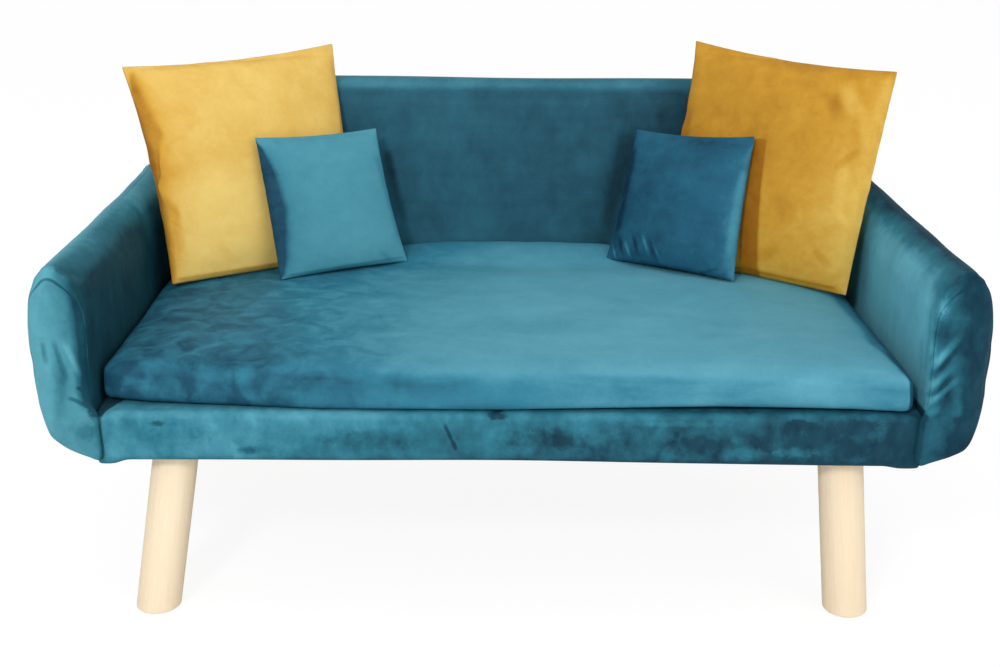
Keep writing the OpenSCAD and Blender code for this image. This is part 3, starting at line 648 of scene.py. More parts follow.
# %% Arm form
LEAN = math.radians(7.0)
LEG_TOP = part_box("front_rail")[0].z
base_low, base_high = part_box("base_cover")
rear_y = base_high.y
arm_low, arm_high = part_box("arm_cover_right")
ARM_T = arm_high.x - arm_low.x
ARM_H = 0.2105
FACING_ROUND = 0.012
ARM_PANEL_GAP = 0.001
SEAM_BACK = 0.013
WRAP = 0.0102
WRAP_DEPTH = 0.0088
ARM_AROUND = 128
ARM_COLUMNS = 11
FACING_PASSES = 40
inner_leaf = [
    (0.38, 0.988), (0.24, 0.95), (0.14, 0.88), (0.06, 0.79), (0.01, 0.68), (0, 0.55), (0, 0.4),
    (0, 0.25), (0, 0.12), (0, 0.0),
]
left_leaf = [
    (0.137, 0.008), (0.398, 0.036), (0.655, 0.084), (0.803, 0.123), (0.856, 0.161), (0.913, 0.223),
    (0.974, 0.315), (1.016, 0.414), (1.041, 0.52), (1.053, 0.624), (1.045, 0.735), (1.02, 0.815),
    (0.975, 0.885), (0.90, 0.945), (0.80, 0.985), (0.68, 1.005), (0.53, 1.008), *inner_leaf,
]
right_leaf = [
    (0.12, -0.002), (0.341, 0.020), (0.599, 0.048), (0.75, 0.068), (0.83, 0.092), (0.893, 0.130),
    (0.968, 0.215), (1.032, 0.333), (1.062, 0.458), (1.072, 0.564), (1.062, 0.662), (1.040, 0.759),
    (1.0, 0.85), (0.93, 0.925), (0.82, 0.98), (0.70, 1.003), (0.54, 1.008), *inner_leaf,
]
arm_middle = np.array([ARM_T / 2, ARM_H / 2])


def back_face_y(height):
    """The front face of the leaning back at a height over the floor."""
    return rear_y + (height - LEG_TOP) * math.tan(LEAN)


def arm_rings(shares):
    """Rings of the right arm from its facing's edge to its rear."""
    leaf = wave_through(shares, ARM_AROUND) * (ARM_T, ARM_H)
    inner = step(0.55, 0.05, leaf[:, 0] / ARM_T)
    low = step(0.34, 0.25, leaf[:, 1] / ARM_H)
    wrapped = inner * low
    rings = []
    turn = np.linspace(0, np.pi / 2, 7)
    depths = [*(FACING_ROUND * (1 - np.cos(turn))), 0.0124, 0.0130, 0.0136, 0.0146, 0.0162, 0.0185]
    for depth in depths:
        short = max(0.0, FACING_ROUND - depth)
        drawn = FACING_ROUND - math.sqrt(FACING_ROUND**2 - short**2)
        ring = leaf + (arm_middle - leaf) * (drawn / arm_middle) * (1 - wrapped[:, None])
        ring[:, 0] -= WRAP * wrapped * float(step(WRAP_DEPTH + 0.0012, WRAP_DEPTH, depth))
        rings.append(np.stack([ring[:, 0], np.full(len(ring), depth), ring[:, 1]], 1))
    height = LEG_TOP + leaf[:, 1]
    front, rear = arm_low.y + depths[-1], back_face_y(height) - ARM_PANEL_GAP
    for share in np.linspace(0, 1, 96)[1:]:
        y = front + (rear - front) * share - arm_low.y
        rings.append(np.stack([leaf[:, 0], y, leaf[:, 1]], 1))
    return [ring + (arm_low.x, arm_low.y, LEG_TOP) for ring in rings]


def arm_piece(name, side, shares):
    """One arm's cover; side is 1 on the right and -1 on the left."""
    points, faces = skin(arm_rings(shares), columns=ARM_COLUMNS)
    if side < 0:
        points = points * (-1, 1, 1)
        faces = [f[::-1] for f in faces]
    piece = link(name, points, [f[::-1] for f in faces])
    fill_with_air(piece, pressure=4.0, cap=0.0032, frames=14)
    on_front = step(arm_low.y + 0.005, arm_low.y + 0.001, points_of(piece)[:, 1])
    weighted_group(piece, "facing", on_front)
    smoothed(piece, factor=0.4, passes=FACING_PASSES, group="facing")
    smoothed(piece, factor=0.4, passes=3)
    settle(piece)
    puffed = points_of(piece)
    x, y, z = puffed.T
    wall = np.where((y < arm_low.y + WRAP_DEPTH) & (z < base_high.z + 0.02), 0, arm_low.x)
    x[:] = side * np.maximum(side * x, wall)
    set_points(piece, puffed)
    return finer(piece)


arm_left = arm_piece("arm_left_velvet", -1, left_leaf)
arm_right = arm_piece("arm_right_velvet", 1, right_leaf)
print("arm faces:", len(arm_left.data.polygons), len(arm_right.data.polygons))

# %% [markdown]
# The facing's seam is a narrow groove that runs round the arm. The left facing has two soft upright
# folds and a few pulls toward its foot, where the arm is stapled to the base. The right facing is
# pulled harder: light folds run from its foot up to the right, and the sleeve is gathered beside it.

# %% Arm seams and folds
SEAM_TOP = 0.0048
SEAM_GROOVE = 0.0004


def seam_depth(height):
    """How far behind the arm's front the seam runs: it comes forward over the top of the arm."""
    return SEAM_BACK + (SEAM_TOP - SEAM_BACK) * step(0.370, 0.400, height)


def shape_arm(piece, rises, folds):
    """Lifts the sleeve's top behind the seam, sinks the seam and raises the folds."""
    places = points_of(piece)
    x, y, z = places.T
    behind = y - arm_low.y
    along = np.clip(behind / (rear_y - arm_low.y), 0, 1)
    rise = (rises[0] + (rises[1] - rises[0]) * along) * step(SEAM_TOP, SEAM_TOP + 0.016, behind)
    z += rise * step(0.325, 0.405, z)
    set_points(piece, places)
    out = normals_of(piece)
    over_base = step(base_high.z - 0.004, base_high.z + 0.012, z)
    outer = step(0.012, 0.02, abs(x) - arm_low.x)
    off = behind - seam_depth(z)
    groove = SEAM_GROOVE * step(0.392, 0.375, z) * np.maximum(over_base, outer)
    lift = -groove * np.exp(-((off / 0.0011) ** 2))
    lift += crumple(places, 0.15, 0.0004, 3)
    lift += crumple(places * (1, 0.5, 1), 0.045, 0.00015, 13) * step(0.08, 0.0, behind)
    for start, end, width, height in folds:
        lift += fold(places, start, end, width, height)
    set_points(piece, places + out * lift[:, None])


front = arm_low.y


def on_arm_front(x, z):
    return (x, front, z)


left_folds = [
    (-487, 340, -485.6, 312, 3, -0.0007), (-475.3, 343, -464.6, 292, 4.2, -0.0008),
    (-464.3, 339, -449.5, 297, 4.8, 0.0008), (-458.7, 288, -445.5, 279, 2.6, -0.0008),
    (-463.3, 283, -445.5, 271, 3, 0.0008), (-468.2, 276, -446.2, 264, 3, -0.0007),
]
right_folds = [
    (444.1, 311, 464.9, 350, 3.4, 0.0008), (439.7, 284, 460.6, 314, 3, 0.0008),
    (442.9, 274, 465.6, 298, 2.8, 0.0006), (442.4, 298, 460.9, 330, 2.8, -0.0008),
    (441.2, 280, 462.6, 306, 2.4, -0.0006),
]
inner_gathers = [
    ((0.4440, -0.281, 0.366), (0.4440, -0.280, 0.282), 0.0030, -0.0010),
    ((0.4440, -0.272, 0.356), (0.4440, -0.273, 0.292), 0.0036, 0.0010),
]
shape_arm(arm_left, rises=(0.0048, 0.0072), folds=laid(left_folds, on_arm_front))
shape_arm(arm_right, rises=(0.0046, 0.0012), folds=[*laid(right_folds, on_arm_front), *inner_gathers])


# %% [markdown]
# The left arm's pile is pale on the front and turns dark on the inner side; the right arm's is the
# other way round. This is painted light and shade by the way each face turns. Painted strokes of
# light and shade stand for the creases and the pulled cloth, and spots for the rubbed places and a
# painted shadow in the corner by the seat.

# %% Arm velvet
def seam_shade(finish, depth):
    """The dark line of the facing's seam, on the arm's own places."""
    where = finish.where()
    ends = arm_low.y + SEAM_BACK, arm_low.y + SEAM_TOP
    middle = finish.between(0.370, 0.400, where.part("Z"), *ends)
    return finish.between(0.0011, 0.0002, finish.distance(where.part("Y"), middle)) * -depth


def arm_inset(finish):
    """How far a place lies from the plane of the arm's inner wall, toward the outside."""
    return finish.distance(finish.where().part("X"), 0.0) - arm_low.x


# The arms' strokes: start, end and width in millimetres across and up, strength, and how much of the
# stroke's length fades at each end. They reach deep behind the front, so they're squeezed along Y.
ON_FACING = (1, 0.12, 1)
# Painted shade and highlight along the left facing's creases.
left_crease_shading = [
    (-487, 341, -485.2, 311, 5, -0.24), (-475.8, 345, -464.6, 292, 4.6, -0.20),
    (-465.5, 342, -449, 292, 5.2, 0.22), (-459, 288, -440, 277, 3.4, -0.45),
    (-469, 277, -440, 262, 4, -0.36),
]
# Painted light and shade streaks for the right facing's pulled cloth.
right_pull_shading = [
    (436, 297, 472, 362, 5.6, 0.34, 0.45), (435, 275, 469, 325, 5, 0.32, 0.45),
    (437, 262, 476, 311, 5, 0.30, 0.45), (440, 258, 460, 272, 6, 0.20, 0.45),
    (441.6, 353, 444, 318, 6, 0.22, 0.45), (438, 289, 470, 344, 4, -0.26, 0.45),
    (439, 270, 470, 312, 3.6, -0.22, 0.45), (454, 376, 447, 330, 8.5, -0.22, 0.45),
]


def left_arm_tones(finish):
    """Painted light and shade: paler on top and toward the rear of the inner side, dark where the front
    turns inward, shading along the creases and a painted shadow in the corner by the seat.
    """
    rear = finish.along("Y", -0.12, 0.12) * finish.along("Z", 0.29, 0.40) * 0.34
    rear = (rear + finish.along("Y", -0.03, 0.11) * 0.30) * finish.facing((1, 0, 0), -0.1, 0.4)
    upper = finish.along("Z", 0.30, 0.41) * finish.facing((0, 0, 1), 0.1, 0.8)
    on_front = finish.along("Y", arm_low.y + 0.014, arm_low.y + 0.006)
    over_base = finish.along("Z", base_high.z, base_high.z + 0.02)
    # Painted shade where the front turns inward.
    turned = finish.between(0.016, 0.001, arm_inset(finish)) * on_front * over_base
    crease_shading = finish.strokes(laid(left_crease_shading, on_arm_front), ON_FACING)
    # The first spot is painted shadow in the corner by the seat's left end; the other two are rubbed
    # places.
    rubs_and_corner_shadow = (
        finish.mark((-0.4385, front, 0.265), (0.012, 0.03, 0.016)) * 0.9
        + finish.mark((-0.4520, front, 0.238), (0.022, 0.03, 0.012)) * 0.12
        + finish.mark((-0.4740, front, 0.300), (0.007, 0.03, 0.022)) * 0.10
    )
    return rear + upper * 0.24 + crease_shading - turned * 0.62 - rubs_and_corner_shadow + seam_shade(finish, 0.40)


def right_arm_tones(finish):
    """Painted light and shade: a darker front with streaks for its pulled cloth, a darker top, a dark rim
    at the foot, a lighter inner wall, and gathers beside the seam inside.
    """
    front_face = finish.along("Y", arm_low.y + 0.030, arm_low.y + 0.008)
    # Painted shade on the top, and a dark rim where the inner wall meets the base.
    shaded_top = finish.facing((0, 0, 1), 0.10, 1.0)
    foot_shade = finish.facing((-1, 0, 0), 0.0, 0.8) * finish.along("Z", 0.264, 0.256)
    inset = arm_inset(finish)
    band = finish.between(0.013, 0.002, inset) * finish.along("Z", 0.258, 0.285)
    foot = finish.along("Z", 0.285, 0.250) * finish.between(0.046, 0.014, inset)
    pull_shading = finish.strokes(laid(right_pull_shading, on_arm_front), ON_FACING)
    pull_shading = pull_shading + band * 0.04 + foot * 0.26
    pull_shading = pull_shading + finish.mark((0.4475, front, 0.383), (0.0080, 0.04, 0.018)) * 0.40
    near_seam = finish.along("Y", -0.225, -0.275)
    inner = finish.facing((-1, 0, 0), 0.5, 0.9)
    low = finish.along("Z", 0.34, 0.27)
    rear = finish.along("Y", -0.01, 0.11)
    # Painted shade of the gathers beside the seam.
    gather_shade = finish.noise(16.0, 3.0, stretch=(1, 3.0, 0.5), shift=(1, 4, 2), distortion=0.6)
    gather_shade = gather_shade * finish.along("Y", -0.20, -0.27) * inner
    tone = front_face * (pull_shading - 0.12) - shaded_top * 0.34 - foot_shade * 1.0
    # Painted light on the inner wall, stronger toward the rear and weaker by the seam.
    tone = tone + inner * (low * 0.16 + rear * 0.34 + 0.06 - near_seam * 0.34)
    return tone + gather_shade * 0.6 + seam_shade(finish, 0.20)


ARM_CLOTH = dict(sheen=0.05, shine=0.08)
arm_left_finish = velvet(
    "arm_left_velvet", "0B3442", "2B6878", "589FAF", (-0.75, -0.62, 0.12), lie_share=0.62, start=0.38,
    smudge=0.36, seed=1, extra=left_arm_tones, **ARM_CLOTH,
)
arm_right_finish = velvet(
    "arm_right_velvet", "082A3B", "2D7184", "64AFC2", (-0.90, 0.42, -0.20), lie_share=0.60, start=0.40,
    smudge=0.42, seed=2, extra=right_arm_tones, **ARM_CLOTH,
)
for piece, finish, nodes in (
    (arm_left, arm_left_finish, ("arm_cover_left", "arm_foam_left")),
    (arm_right, arm_right_finish, ("arm_cover_right", "arm_foam_right")),
):
    piece.data.materials.clear()
    piece.data.materials.append(finish)
    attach(piece, "frame")
    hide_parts(*nodes)

# %% [markdown]
# ## The back
# The back is a plain padded slab that leans seven degrees. Its top edge is rolled over, and its lower
# corners are cut away where the arms' feet pass. A block's grid with rounded edges suits it, because
# its faces run level and upright, as the cloth does. Behind the seat its front is pressed in a little,
# which leaves room for the zip's pull.

# %% Back form
back_low, back_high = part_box("back_cover")
BACK_CELLS = (132, 12, 46)
BACK_T = 0.078
BACK_H = 0.330
BACK_FOOT = 0.006
BACK_PUFF = 0.0042
BACK_ROUND = 0.022
BACK_CORNER = 0.036
BACK_LOW_CORNER = 0.060
ZIP_ROOM = 0.0030
back_half = (back_high.x - back_low.x) / 2


def leaning(points):
    """From the back's own frame, with Y into its thickness and Z up its lean, to the sofa's."""
    cos, sin = math.cos(LEAN), math.sin(LEAN)
    x, y, z = points.T
    return np.stack([x, rear_y + y * cos + z * sin, LEG_TOP - y * sin + z * cos], 1)


def back_piece():
    unit, faces = block_faces(BACK_CELLS)
    half = np.array([back_half - 0.002, BACK_T / 2 - 0.002, BACK_H / 2 + BACK_PUFF / 2])
    upper = soft_block(unit, half, (BACK_CORNER, BACK_ROUND, BACK_CORNER))
    lower = soft_block(unit, half, (BACK_LOW_CORNER, BACK_ROUND, BACK_LOW_CORNER))
    share = step(-0.35, 0.35, unit[:, 2])[:, None]
    form = lower + (upper - lower) * share
    form += (0, BACK_T / 2, BACK_FOOT + BACK_H / 2 + BACK_PUFF / 2)
    piece = link("back_velvet", leaning(form), faces)
    fill_with_air(piece, pressure=3.0, cap=0.004, frames=20)
    return finer(piece)


back = back_piece()
places, out = points_of(back), normals_of(back)
x, y, z = places.T
lift = crumple(places, 0.30, 0.0010, 11)
lift += fold(places, (-0.315, 0.205, 0.515), (-0.292, 0.200, 0.500), 0.004, -0.0022)
lift += fold(places, (-0.305, 0.206, 0.520), (-0.302, 0.203, 0.492), 0.003, 0.0014)
lift -= 0.0012 * np.exp(-(((z - 0.507) / 0.0022) ** 2)) * (out[:, 1] < 0.2)
zip_height, zip_reach = 0.2680, 0.290
pressed_in = np.exp(-(((z - zip_height) / 0.024) ** 4)) * (out[:, 1] < -0.4)
y += ZIP_ROOM * pressed_in * step(zip_reach + 0.02, zip_reach, np.abs(x))
set_points(back, places + out * lift[:, None])


def back_tones(finish):
    """Painted highlight on the rolled top, painted shade to the right, a little lighter low and to the
    left. Two strokes stand for the small cushions' shadows.
    """
    lit_rolled_top = finish.along("Z", 0.514, 0.525)
    low = finish.along("Z", 0.40, 0.31)
    left = finish.along("X", 0.1, -0.45)
    # Painted shade beside the small right cushion.
    right = finish.along("X", 0.04, 0.24)
    beside = finish.strokes(
        [
            ((0.162, 0.207, 0.470), (0.130, 0.190, 0.300), 0.020, -0.30, 0.10),
            ((-0.166, 0.205, 0.445), (-0.131, 0.190, 0.300), 0.011, -0.22, 0.10),
        ],
        (1, 0.2, 1),
    )
    return lit_rolled_top * 0.36 + low * 0.07 + left * 0.10 - right * 0.14 + beside


back_finish = velvet(
    "back_velvet", "0F303F", "275F72", "4C8F9F", (0.1, -0.7, 0.3), lie_share=0.16, start=0.17,
    smudge=0.38, seed=4, extra=back_tones, streak_stretch=(3, 7, 34),
)
back.data.materials.append(back_finish)
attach(back, "frame")
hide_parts("back_cover", "back_foam")
print("back faces:", len(back.data.polygons))

# %% [markdown]
# ## The base
# Velvet is pulled over the front rail and the deck, turned under and stapled. The piece is a single
# sheet that follows that path, given its thickness at the end. At both ends of the top front edge the
# cloth dips, where it is cut round the arms' feet, which leaves a small hollow under the seat's left
# corner; its dark colour is painted shadow. The lower corners sag a little. A short crease marks the
# middle of the front, and the pile is rubbed into blotches.

# %% Base cover
COVER_T = 0.0015
FRONT_EDGE = 0.009
FLAP = 0.020
HOLLOW_X = 0.4370
HOLLOW_SLOPE = 0.457
FOLD_PLANE = -0.2815
CORNER_DIP = 0.0030
base_front = base_low.y
base_bottom = base_low.z
base_top = base_high.z
base_half = base_high.x


def base_path():
    """The cover's section from the flap's edge, up the front and back over the deck."""
    turn = np.linspace(0, np.pi / 2, 7)
    low, high = base_bottom + FRONT_EDGE, base_top - FRONT_EDGE
    inner = base_front + FRONT_EDGE
    under = [(base_front + FLAP - s * (FLAP - FRONT_EDGE), base_bottom) for s in (0, 0.35, 0.7)]
    lower = [(inner - FRONT_EDGE * math.sin(t), low - FRONT_EDGE * math.cos(t)) for t in turn]
    front = [(base_front, low + (high - low) * s) for s in (0.12, 0.25, 0.38, 0.5, 0.62, 0.75, 0.88)]
    upper = [(inner - FRONT_EDGE * math.cos(t), high + FRONT_EDGE * math.sin(t)) for t in turn]
    top = [(inner + (rear_y - inner) * s, base_top) for s in np.linspace(0.02, 1, 34)]
    return np.array(under + lower + front + upper + top)


def base_piece():
    path = base_path()
    stations = np.linspace(-base_half, base_half, 150)
    points = np.array([(x, y, z) for x in stations for y, z in path])
    count = len(path)
    faces = [
        (s * count + k, (s + 1) * count + k, (s + 1) * count + k + 1, s * count + k + 1)
        for s in range(len(stations) - 1)
        for k in range(count - 1)
    ]
    return link("base_velvet", points, faces)


base = base_piece()
places, out = points_of(base), normals_of(base)
x, y, z = places.T
front_side = step(0.3, 0.9, -out[:, 1])
near_edge = y - base_front
near_front = step(0.060, 0.0, near_edge)
lift = crumple(places, 0.22, 0.0007, 21) * near_front
lift += front_side * 0.0016 * np.sin(np.clip((z - base_bottom) / 0.0575, 0, 1) * np.pi)
base_folds = [
    (-73, 246, -58.5, 215, 2.6, 0.0016), (-68, 245, -53.5, 215, 2, -0.0016),
    (170, 246, 176, 212, 4, -0.0010), (-300, 240, -290, 210, 6, -0.0010),
    (330, 244, 320, 212, 6, 0.0010), (-440, 248, -415, 230, 4, -0.0012),
    (440, 248, 418, 230, 4, -0.0012),
]
for start, end, width, height in laid(base_folds, lambda x, z: (x, FOLD_PLANE, z)):
    lift += fold(places, start, end, width, height)
places += out * lift[:, None]
end_left = np.exp(-(((x + base_half) / 0.020) ** 2))
end_right = np.exp(-(((x - base_half) / 0.015) ** 2))
corner = (1.0 * end_left + 0.7 * end_right) * step(0.070, 0.0, y - base_front)
dip = CORNER_DIP * corner * step(base_top - 0.016, base_top, z)
z -= dip
y += dip
low = step(base_bottom + 0.022, base_bottom + 0.002, z) * step(0.045, 0.015, near_edge)
sag_left = np.exp(-(((x + base_half - 0.008) / 0.0155) ** 4))
sag_right = np.exp(-(((x - base_half + 0.012) / 0.0180) ** 4))
z -= (0.0050 * sag_left + 0.0030 * sag_right + 0.0024 * step(-0.15, 0.42, x)) * low
set_points(base, places)
sheet_thickness = base.modifiers.new("thickness", "SOLIDIFY")
sheet_thickness.thickness = COVER_T
sheet_thickness.offset = -1.0
settle(base)
finer(base)


# Rubbed spots on the base's front: place, size in millimetres and depth.
base_rubs = [
    (-377, 244, 10, 4, 0.40), (-281.5, 213, 14, 6, 0.34), (-13, 253.5, 12, 4.2, 0.62),
    (-327, 230, 16, 12, 0.16), (-150, 226, 60, 14, 0.20), (45, 228, 55, 16, 0.22),
    (309.5, 246, 17, 7, 0.45), (375, 244, 26, 9, 0.25), (420, 230, 22, 22, 0.22),
    (205, 222, 50, 14, 0.16), (255, 212, 30, 10, -0.22), (310, 214, 30, 8, -0.26),
    (180, 246, 60, 4, -0.16), (-430, 215, 20, 12, -0.10),
]


def base_tones(finish):
    """Darker toward the right, blotched, with rubbed spots and the short crease."""
    across = finish.along("X", -0.34, 0.42)
    blotches = finish.noise(14.0, 5.0, stretch=(1, 1, 1.5), shift=(3, 1, 4), distortion=0.3)
    flecks = finish.noise(60.0, 5.0, stretch=(1, 1, 0.8), shift=(6, 2, 1), distortion=0.3)
    tone = across * -0.52 + blotches * 0.65 + flecks * 0.55
    for x, z, wide, high, depth in base_rubs:
        spot = finish.mark((x / 1000, base_front, z / 1000), (wide / 1000, 0.03, high / 1000))
        tone = tone - spot * depth
    return tone - finish.line((-0.0715, base_front, 0.248), (-0.0560, base_front, 0.212), 0.0034) * 0.5


def base_hollow_shadow(finish):
    """Painted shadow: the dark corner under the left end of the seat, where the cloth is cut round the arm.
    """
    where = finish.where()
    slant = where.part("X") + HOLLOW_X - (where.part("Y") - base_front) * HOLLOW_SLOPE
    shadow_share = finish.between(0.0014, -0.0014, slant)
    return shadow_share * finish.along("Z", base_top - 0.0085, base_top - 0.0050) * 0.85


base_finish = velvet(
    "base_velvet", "082C3D", "2B7083", "549DAF", (0.0, -0.4, 0.9), lie_share=0.26, start=0.50,
    smudge=0.36, seed=6, extra=base_tones, sheen=0.08, deep=base_hollow_shadow,
)
base.data.materials.append(base_finish)
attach(base, "frame")
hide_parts("base_cover", "base_pad")
print("base faces:", len(base.data.polygons))

# %% [markdown]
# ## The seat cushion
# A loose foam pad in a velvet cover. Its sides are upright with a soft upper edge, its corners are
# round, and its top swells toward the middle. The cover is a block's grid, rounded, crowned, and
# filled with air.

# %% Seat cushion form
seat_low, seat_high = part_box("seat_cover")
SEAT_CELLS = (150, 80, 9)
SEAT_EDGE_H = 0.041
SEAT_CROWN = 0.012
SEAT_CORNER = 0.010
SEAT_EDGE = 0.011
SIDE_BLEND = 0.012
SEAT_LEFT_REACH = 0.0180
SEAT_RIGHT_REACH = 0.0045
SEAT_REAR_RISE = 0.0222
SEAT_REAR_PUSH = 0.0100
ZIP_CLEAR = 0.0002
crown_in = (0.0, 0.09, 0.22, 0.4, 0.62, 0.86, 1.0)
crown_up = (0.0, 0.3, 0.56, 0.78, 0.93, 0.99, 1.0)
seat_middle = (np.array(seat_low) + np.array(seat_high)) / 2
seat_half = np.array([seat_high.x - seat_low.x, seat_high.y - seat_low.y]) / 2


def seat_crown(points):
    """The rise of the top over the edge, by the distance in from the nearest side."""
    inset = seat_half - np.abs(points[:, :2] - seat_middle[:2])
    near = -np.log(np.exp(-inset / SIDE_BLEND).sum(1)) * SIDE_BLEND
    return SEAT_CROWN * np.interp(near / seat_half[1], crown_in, crown_up)


def seat_piece():
    unit, faces = block_faces(SEAT_CELLS)
    half = (seat_half[0] - 0.001, seat_half[1] - 0.001, SEAT_EDGE_H / 2)
    form = soft_block(unit, half, (SEAT_CORNER, SEAT_CORNER, SEAT_EDGE))
    form += (*seat_middle[:2], seat_low.z + SEAT_EDGE_H / 2)
    upper = step(0.2, 1.0, (form[:, 2] - seat_low.z) / SEAT_EDGE_H)
    form[:, 2] += seat_crown(form) * upper
    piece = link("seat_cushion_velvet", form, faces)
    low = form[:, 2] < seat_low.z + 0.004
    fill_with_air(piece, pressure=3.0, cap=0.0022, frames=14, held=np.where(low, 1.0, 0.0))
    smoothed(piece, factor=0.4, passes=2)
    settle(piece)
    places = points_of(piece)
    places[:, 2] = np.maximum(places[:, 2], seat_low.z)
    set_points(piece, places)
    return finer(piece)


seat = seat_piece()
print("seat faces:", len(seat.data.polygons))

# %% [markdown]
# The real cushion doesn't lie square. At its left end it is pushed against the arm, its front corner
# there sits further back and curls up, and its front sags back a little toward the right of the
# middle. Its rear edge is pressed up where it meets the back. These are slow bends of the form. Short
# pulls mark its front near both ends, and behind the cover is pressed in round the zip.

# %% Bends of the seat cushion
front_bend_x = (-0.43, -0.419, -0.378, -0.311, -0.204, -0.01, 0.097, 0.23, 0.312, 0.366, 0.43)
front_bend_back = (0.0400, 0.0235, 0.0150, 0.0090, 0.0010, 0.0010, 0.0025, 0.0050, 0.0045, 0.0035, 0.0)
front_low_rise = (0.0030, 0.0030, 0.0020, 0.0012, 0.0, 0.0, 0.0020, 0.0035, 0.0028, 0.0020, 0.0)
places, out = points_of(seat), normals_of(seat)
x, y, z = places.T
seat_front = seat_low.y
left, right = seat_low.x, seat_high.x
bend_back = np.interp(x, front_bend_x, front_bend_back)
y += bend_back * step(seat_front + 0.15, seat_front, y)
low_share = step(seat_low.z + 0.024, seat_low.z, z)
low_share = low_share * step(seat_front + 0.06, seat_front + 0.01, y - bend_back)
z += np.interp(x, front_bend_x, front_low_rise) * low_share
left_share = step(left + 0.12, left, x)
x -= SEAT_LEFT_REACH * left_share * step(seat_front - 0.01, seat_front + 0.01, y)
right_share = step(right - 0.10, right, x)
x += SEAT_RIGHT_REACH * right_share * (1 + step(0.05, seat_front, y))
rear_share = step(0.085, 0.172, y) * np.exp(-(((x - 0.005) / 0.185) ** 6))
upper_share = step(seat_low.z + 0.008, seat_low.z + 0.040, z)
z += SEAT_REAR_RISE * rear_share * upper_share
over_zip = step(0.284, 0.300, z)
y += SEAT_REAR_PUSH * step(0.150, 0.176, y) * over_zip
lift = crumple(places, 0.20, 0.0007, 31) * step(seat_low.z, seat_low.z + 0.02, z)
lift += crumple(places * (1, 1, 0.3), 0.07, 0.00035, 32) * step(0.2, 0.9, out[:, 2])
seat_folds = [
    ((left + 0.004, seat_front + 0.03, 0.292), (left + 0.030, seat_front + 0.018, 0.268), 0.0040, 0.0012),
    ((left + 0.020, seat_front + 0.02, 0.293), (left + 0.060, seat_front + 0.012, 0.270), 0.005, -0.0012),
    ((0.1040, seat_front + 0.003, 0.292), (0.1010, seat_front + 0.003, 0.272), 0.0024, -0.0010),
    ((right - 0.014, seat_front, 0.294), (right - 0.020, seat_front, 0.262), 0.0050, -0.0016),
    ((right - 0.030, seat_front, 0.290), (right - 0.026, seat_front, 0.262), 0.0040, 0.0010),
]
for start, end, width, height in seat_folds:
    lift += fold(places, start, end, width, height)
places += out * lift[:, None]
zip_low, zip_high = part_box("seat_zip")
zip_middle = (zip_low.z + zip_high.z) / 2
at_zip = step(zip_high.x + 0.012, zip_high.x + 0.004, np.abs(x)) * (out[:, 1] > 0.3)
at_zip *= np.exp(-(((z - zip_middle) / 0.0062) ** 4))
y -= at_zip * np.maximum(y - (zip_low.y - ZIP_CLEAR), 0)
set_points(seat, places)


def seat_tones(finish):
    """Darker and scribbled toward the left, darker on the front there and toward the rear, and painted
    shade at the right edge beside the arm.
    """
    wander = finish.noise(4.0, 2.0, shift=(2, 7, 1)) * 0.22
    left_part = finish.between(0.04, -0.34, finish.where().part("X") + wander)
    front = finish.facing((0, -1, 0), 0.35, 0.9)
    near_front = finish.along("Y", -0.19, -0.27)
    far_left = finish.along("X", -0.30, -0.42)
    # Painted shade on the edge that turns toward the right arm.
    right_edge_shade = finish.facing((1, 0, 0), 0.12, 0.55)
    scribble = finish.noise(26.0, 6.0, stretch=(1.2, 1.4, 1.0), shift=(5, 2, 1), distortion=0.8)
    brushed = finish.noise(10.0, 4.0, stretch=(0.7, 1.6, 1.0), shift=(8, 3, 1), distortion=0.5)
    patches = finish.noise(18.0, 4.0, stretch=(0.6, 1.0, 1.8), shift=(4, 9, 2), distortion=0.5)
    middle = finish.along("X", 0.25, 0.0)
    rear = finish.along("Y", 0.04, 0.16)
    shade = left_part * 0.52 + near_front * (left_part * 0.06 + 0.02)
    shade = shade + front * (0.15 + middle * 0.09 - left_part * 0.20)
    shade = shade + far_left * 0.08 + right_edge_shade * 1.1 + rear * 0.17
    return scribble * left_part * 1.1 + brushed * 0.25 + patches * front * 0.7 - shade


seat_finish = velvet(
    "seat_velvet", "103C52", "2F768D", "5FA3B5", (0.1, 0.0, 1.0), lie_share=0.06, start=0.80,
    smudge=0.16, seed=8, extra=seat_tones, sheen=0.08,
)
seat.data.materials.append(seat_finish)
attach(seat, "seat_cushion")
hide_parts("seat_cover", "seat_foam")

# %% [markdown]
# ## The throw cushions
# Each one is two square panels sewn along their edges and stuffed. It is made the same way here: two
# flat grids that share their border are blown up by the cloth simulation, which draws the sides in and
# leaves the corners as small ears. The result is drawn to the outline that its seam has, scaled to the
# cushion's real thickness, evened with the construction's own swell and laid in its place. The seam is
# plain: there is no piping.

# %% Cushion panels
def sewn_panels(side, cells, rise):
    """Two square grids that share their border, a little apart in the middle."""
    number = {}
    points, faces, shares = [], [], []

    def corner(layer, i, j):
        on_seam = i in (0, cells) or j in (0, cells)
        key = (0 if on_seam else layer, i, j)
        if key not in number:
            number[key] = len(points)
            u, v = 2 * i / cells - 1, 2 * j / cells - 1
            bulge = 0 if on_seam else layer * rise * ((1 - u**2) * (1 - v**2)) ** 0.5
            points.append((u * side / 2, v * side / 2, bulge))
            shares.append((u, v))
        return number[key]

    for layer in (1, -1):
        for i in range(cells):
            for j in range(cells):
                ring = [corner(layer, *c) for c in ((i, j), (i + 1, j), (i + 1, j + 1), (i, j + 1))]
                faces.append(ring if layer > 0 else ring[::-1])
    return np.array(points), faces, np.array(shares)


def grid_places(shares, cells):
    """Each point's column and row in its panel."""
    return tuple(np.round((shares + 1) * cells / 2).astype(int).T)


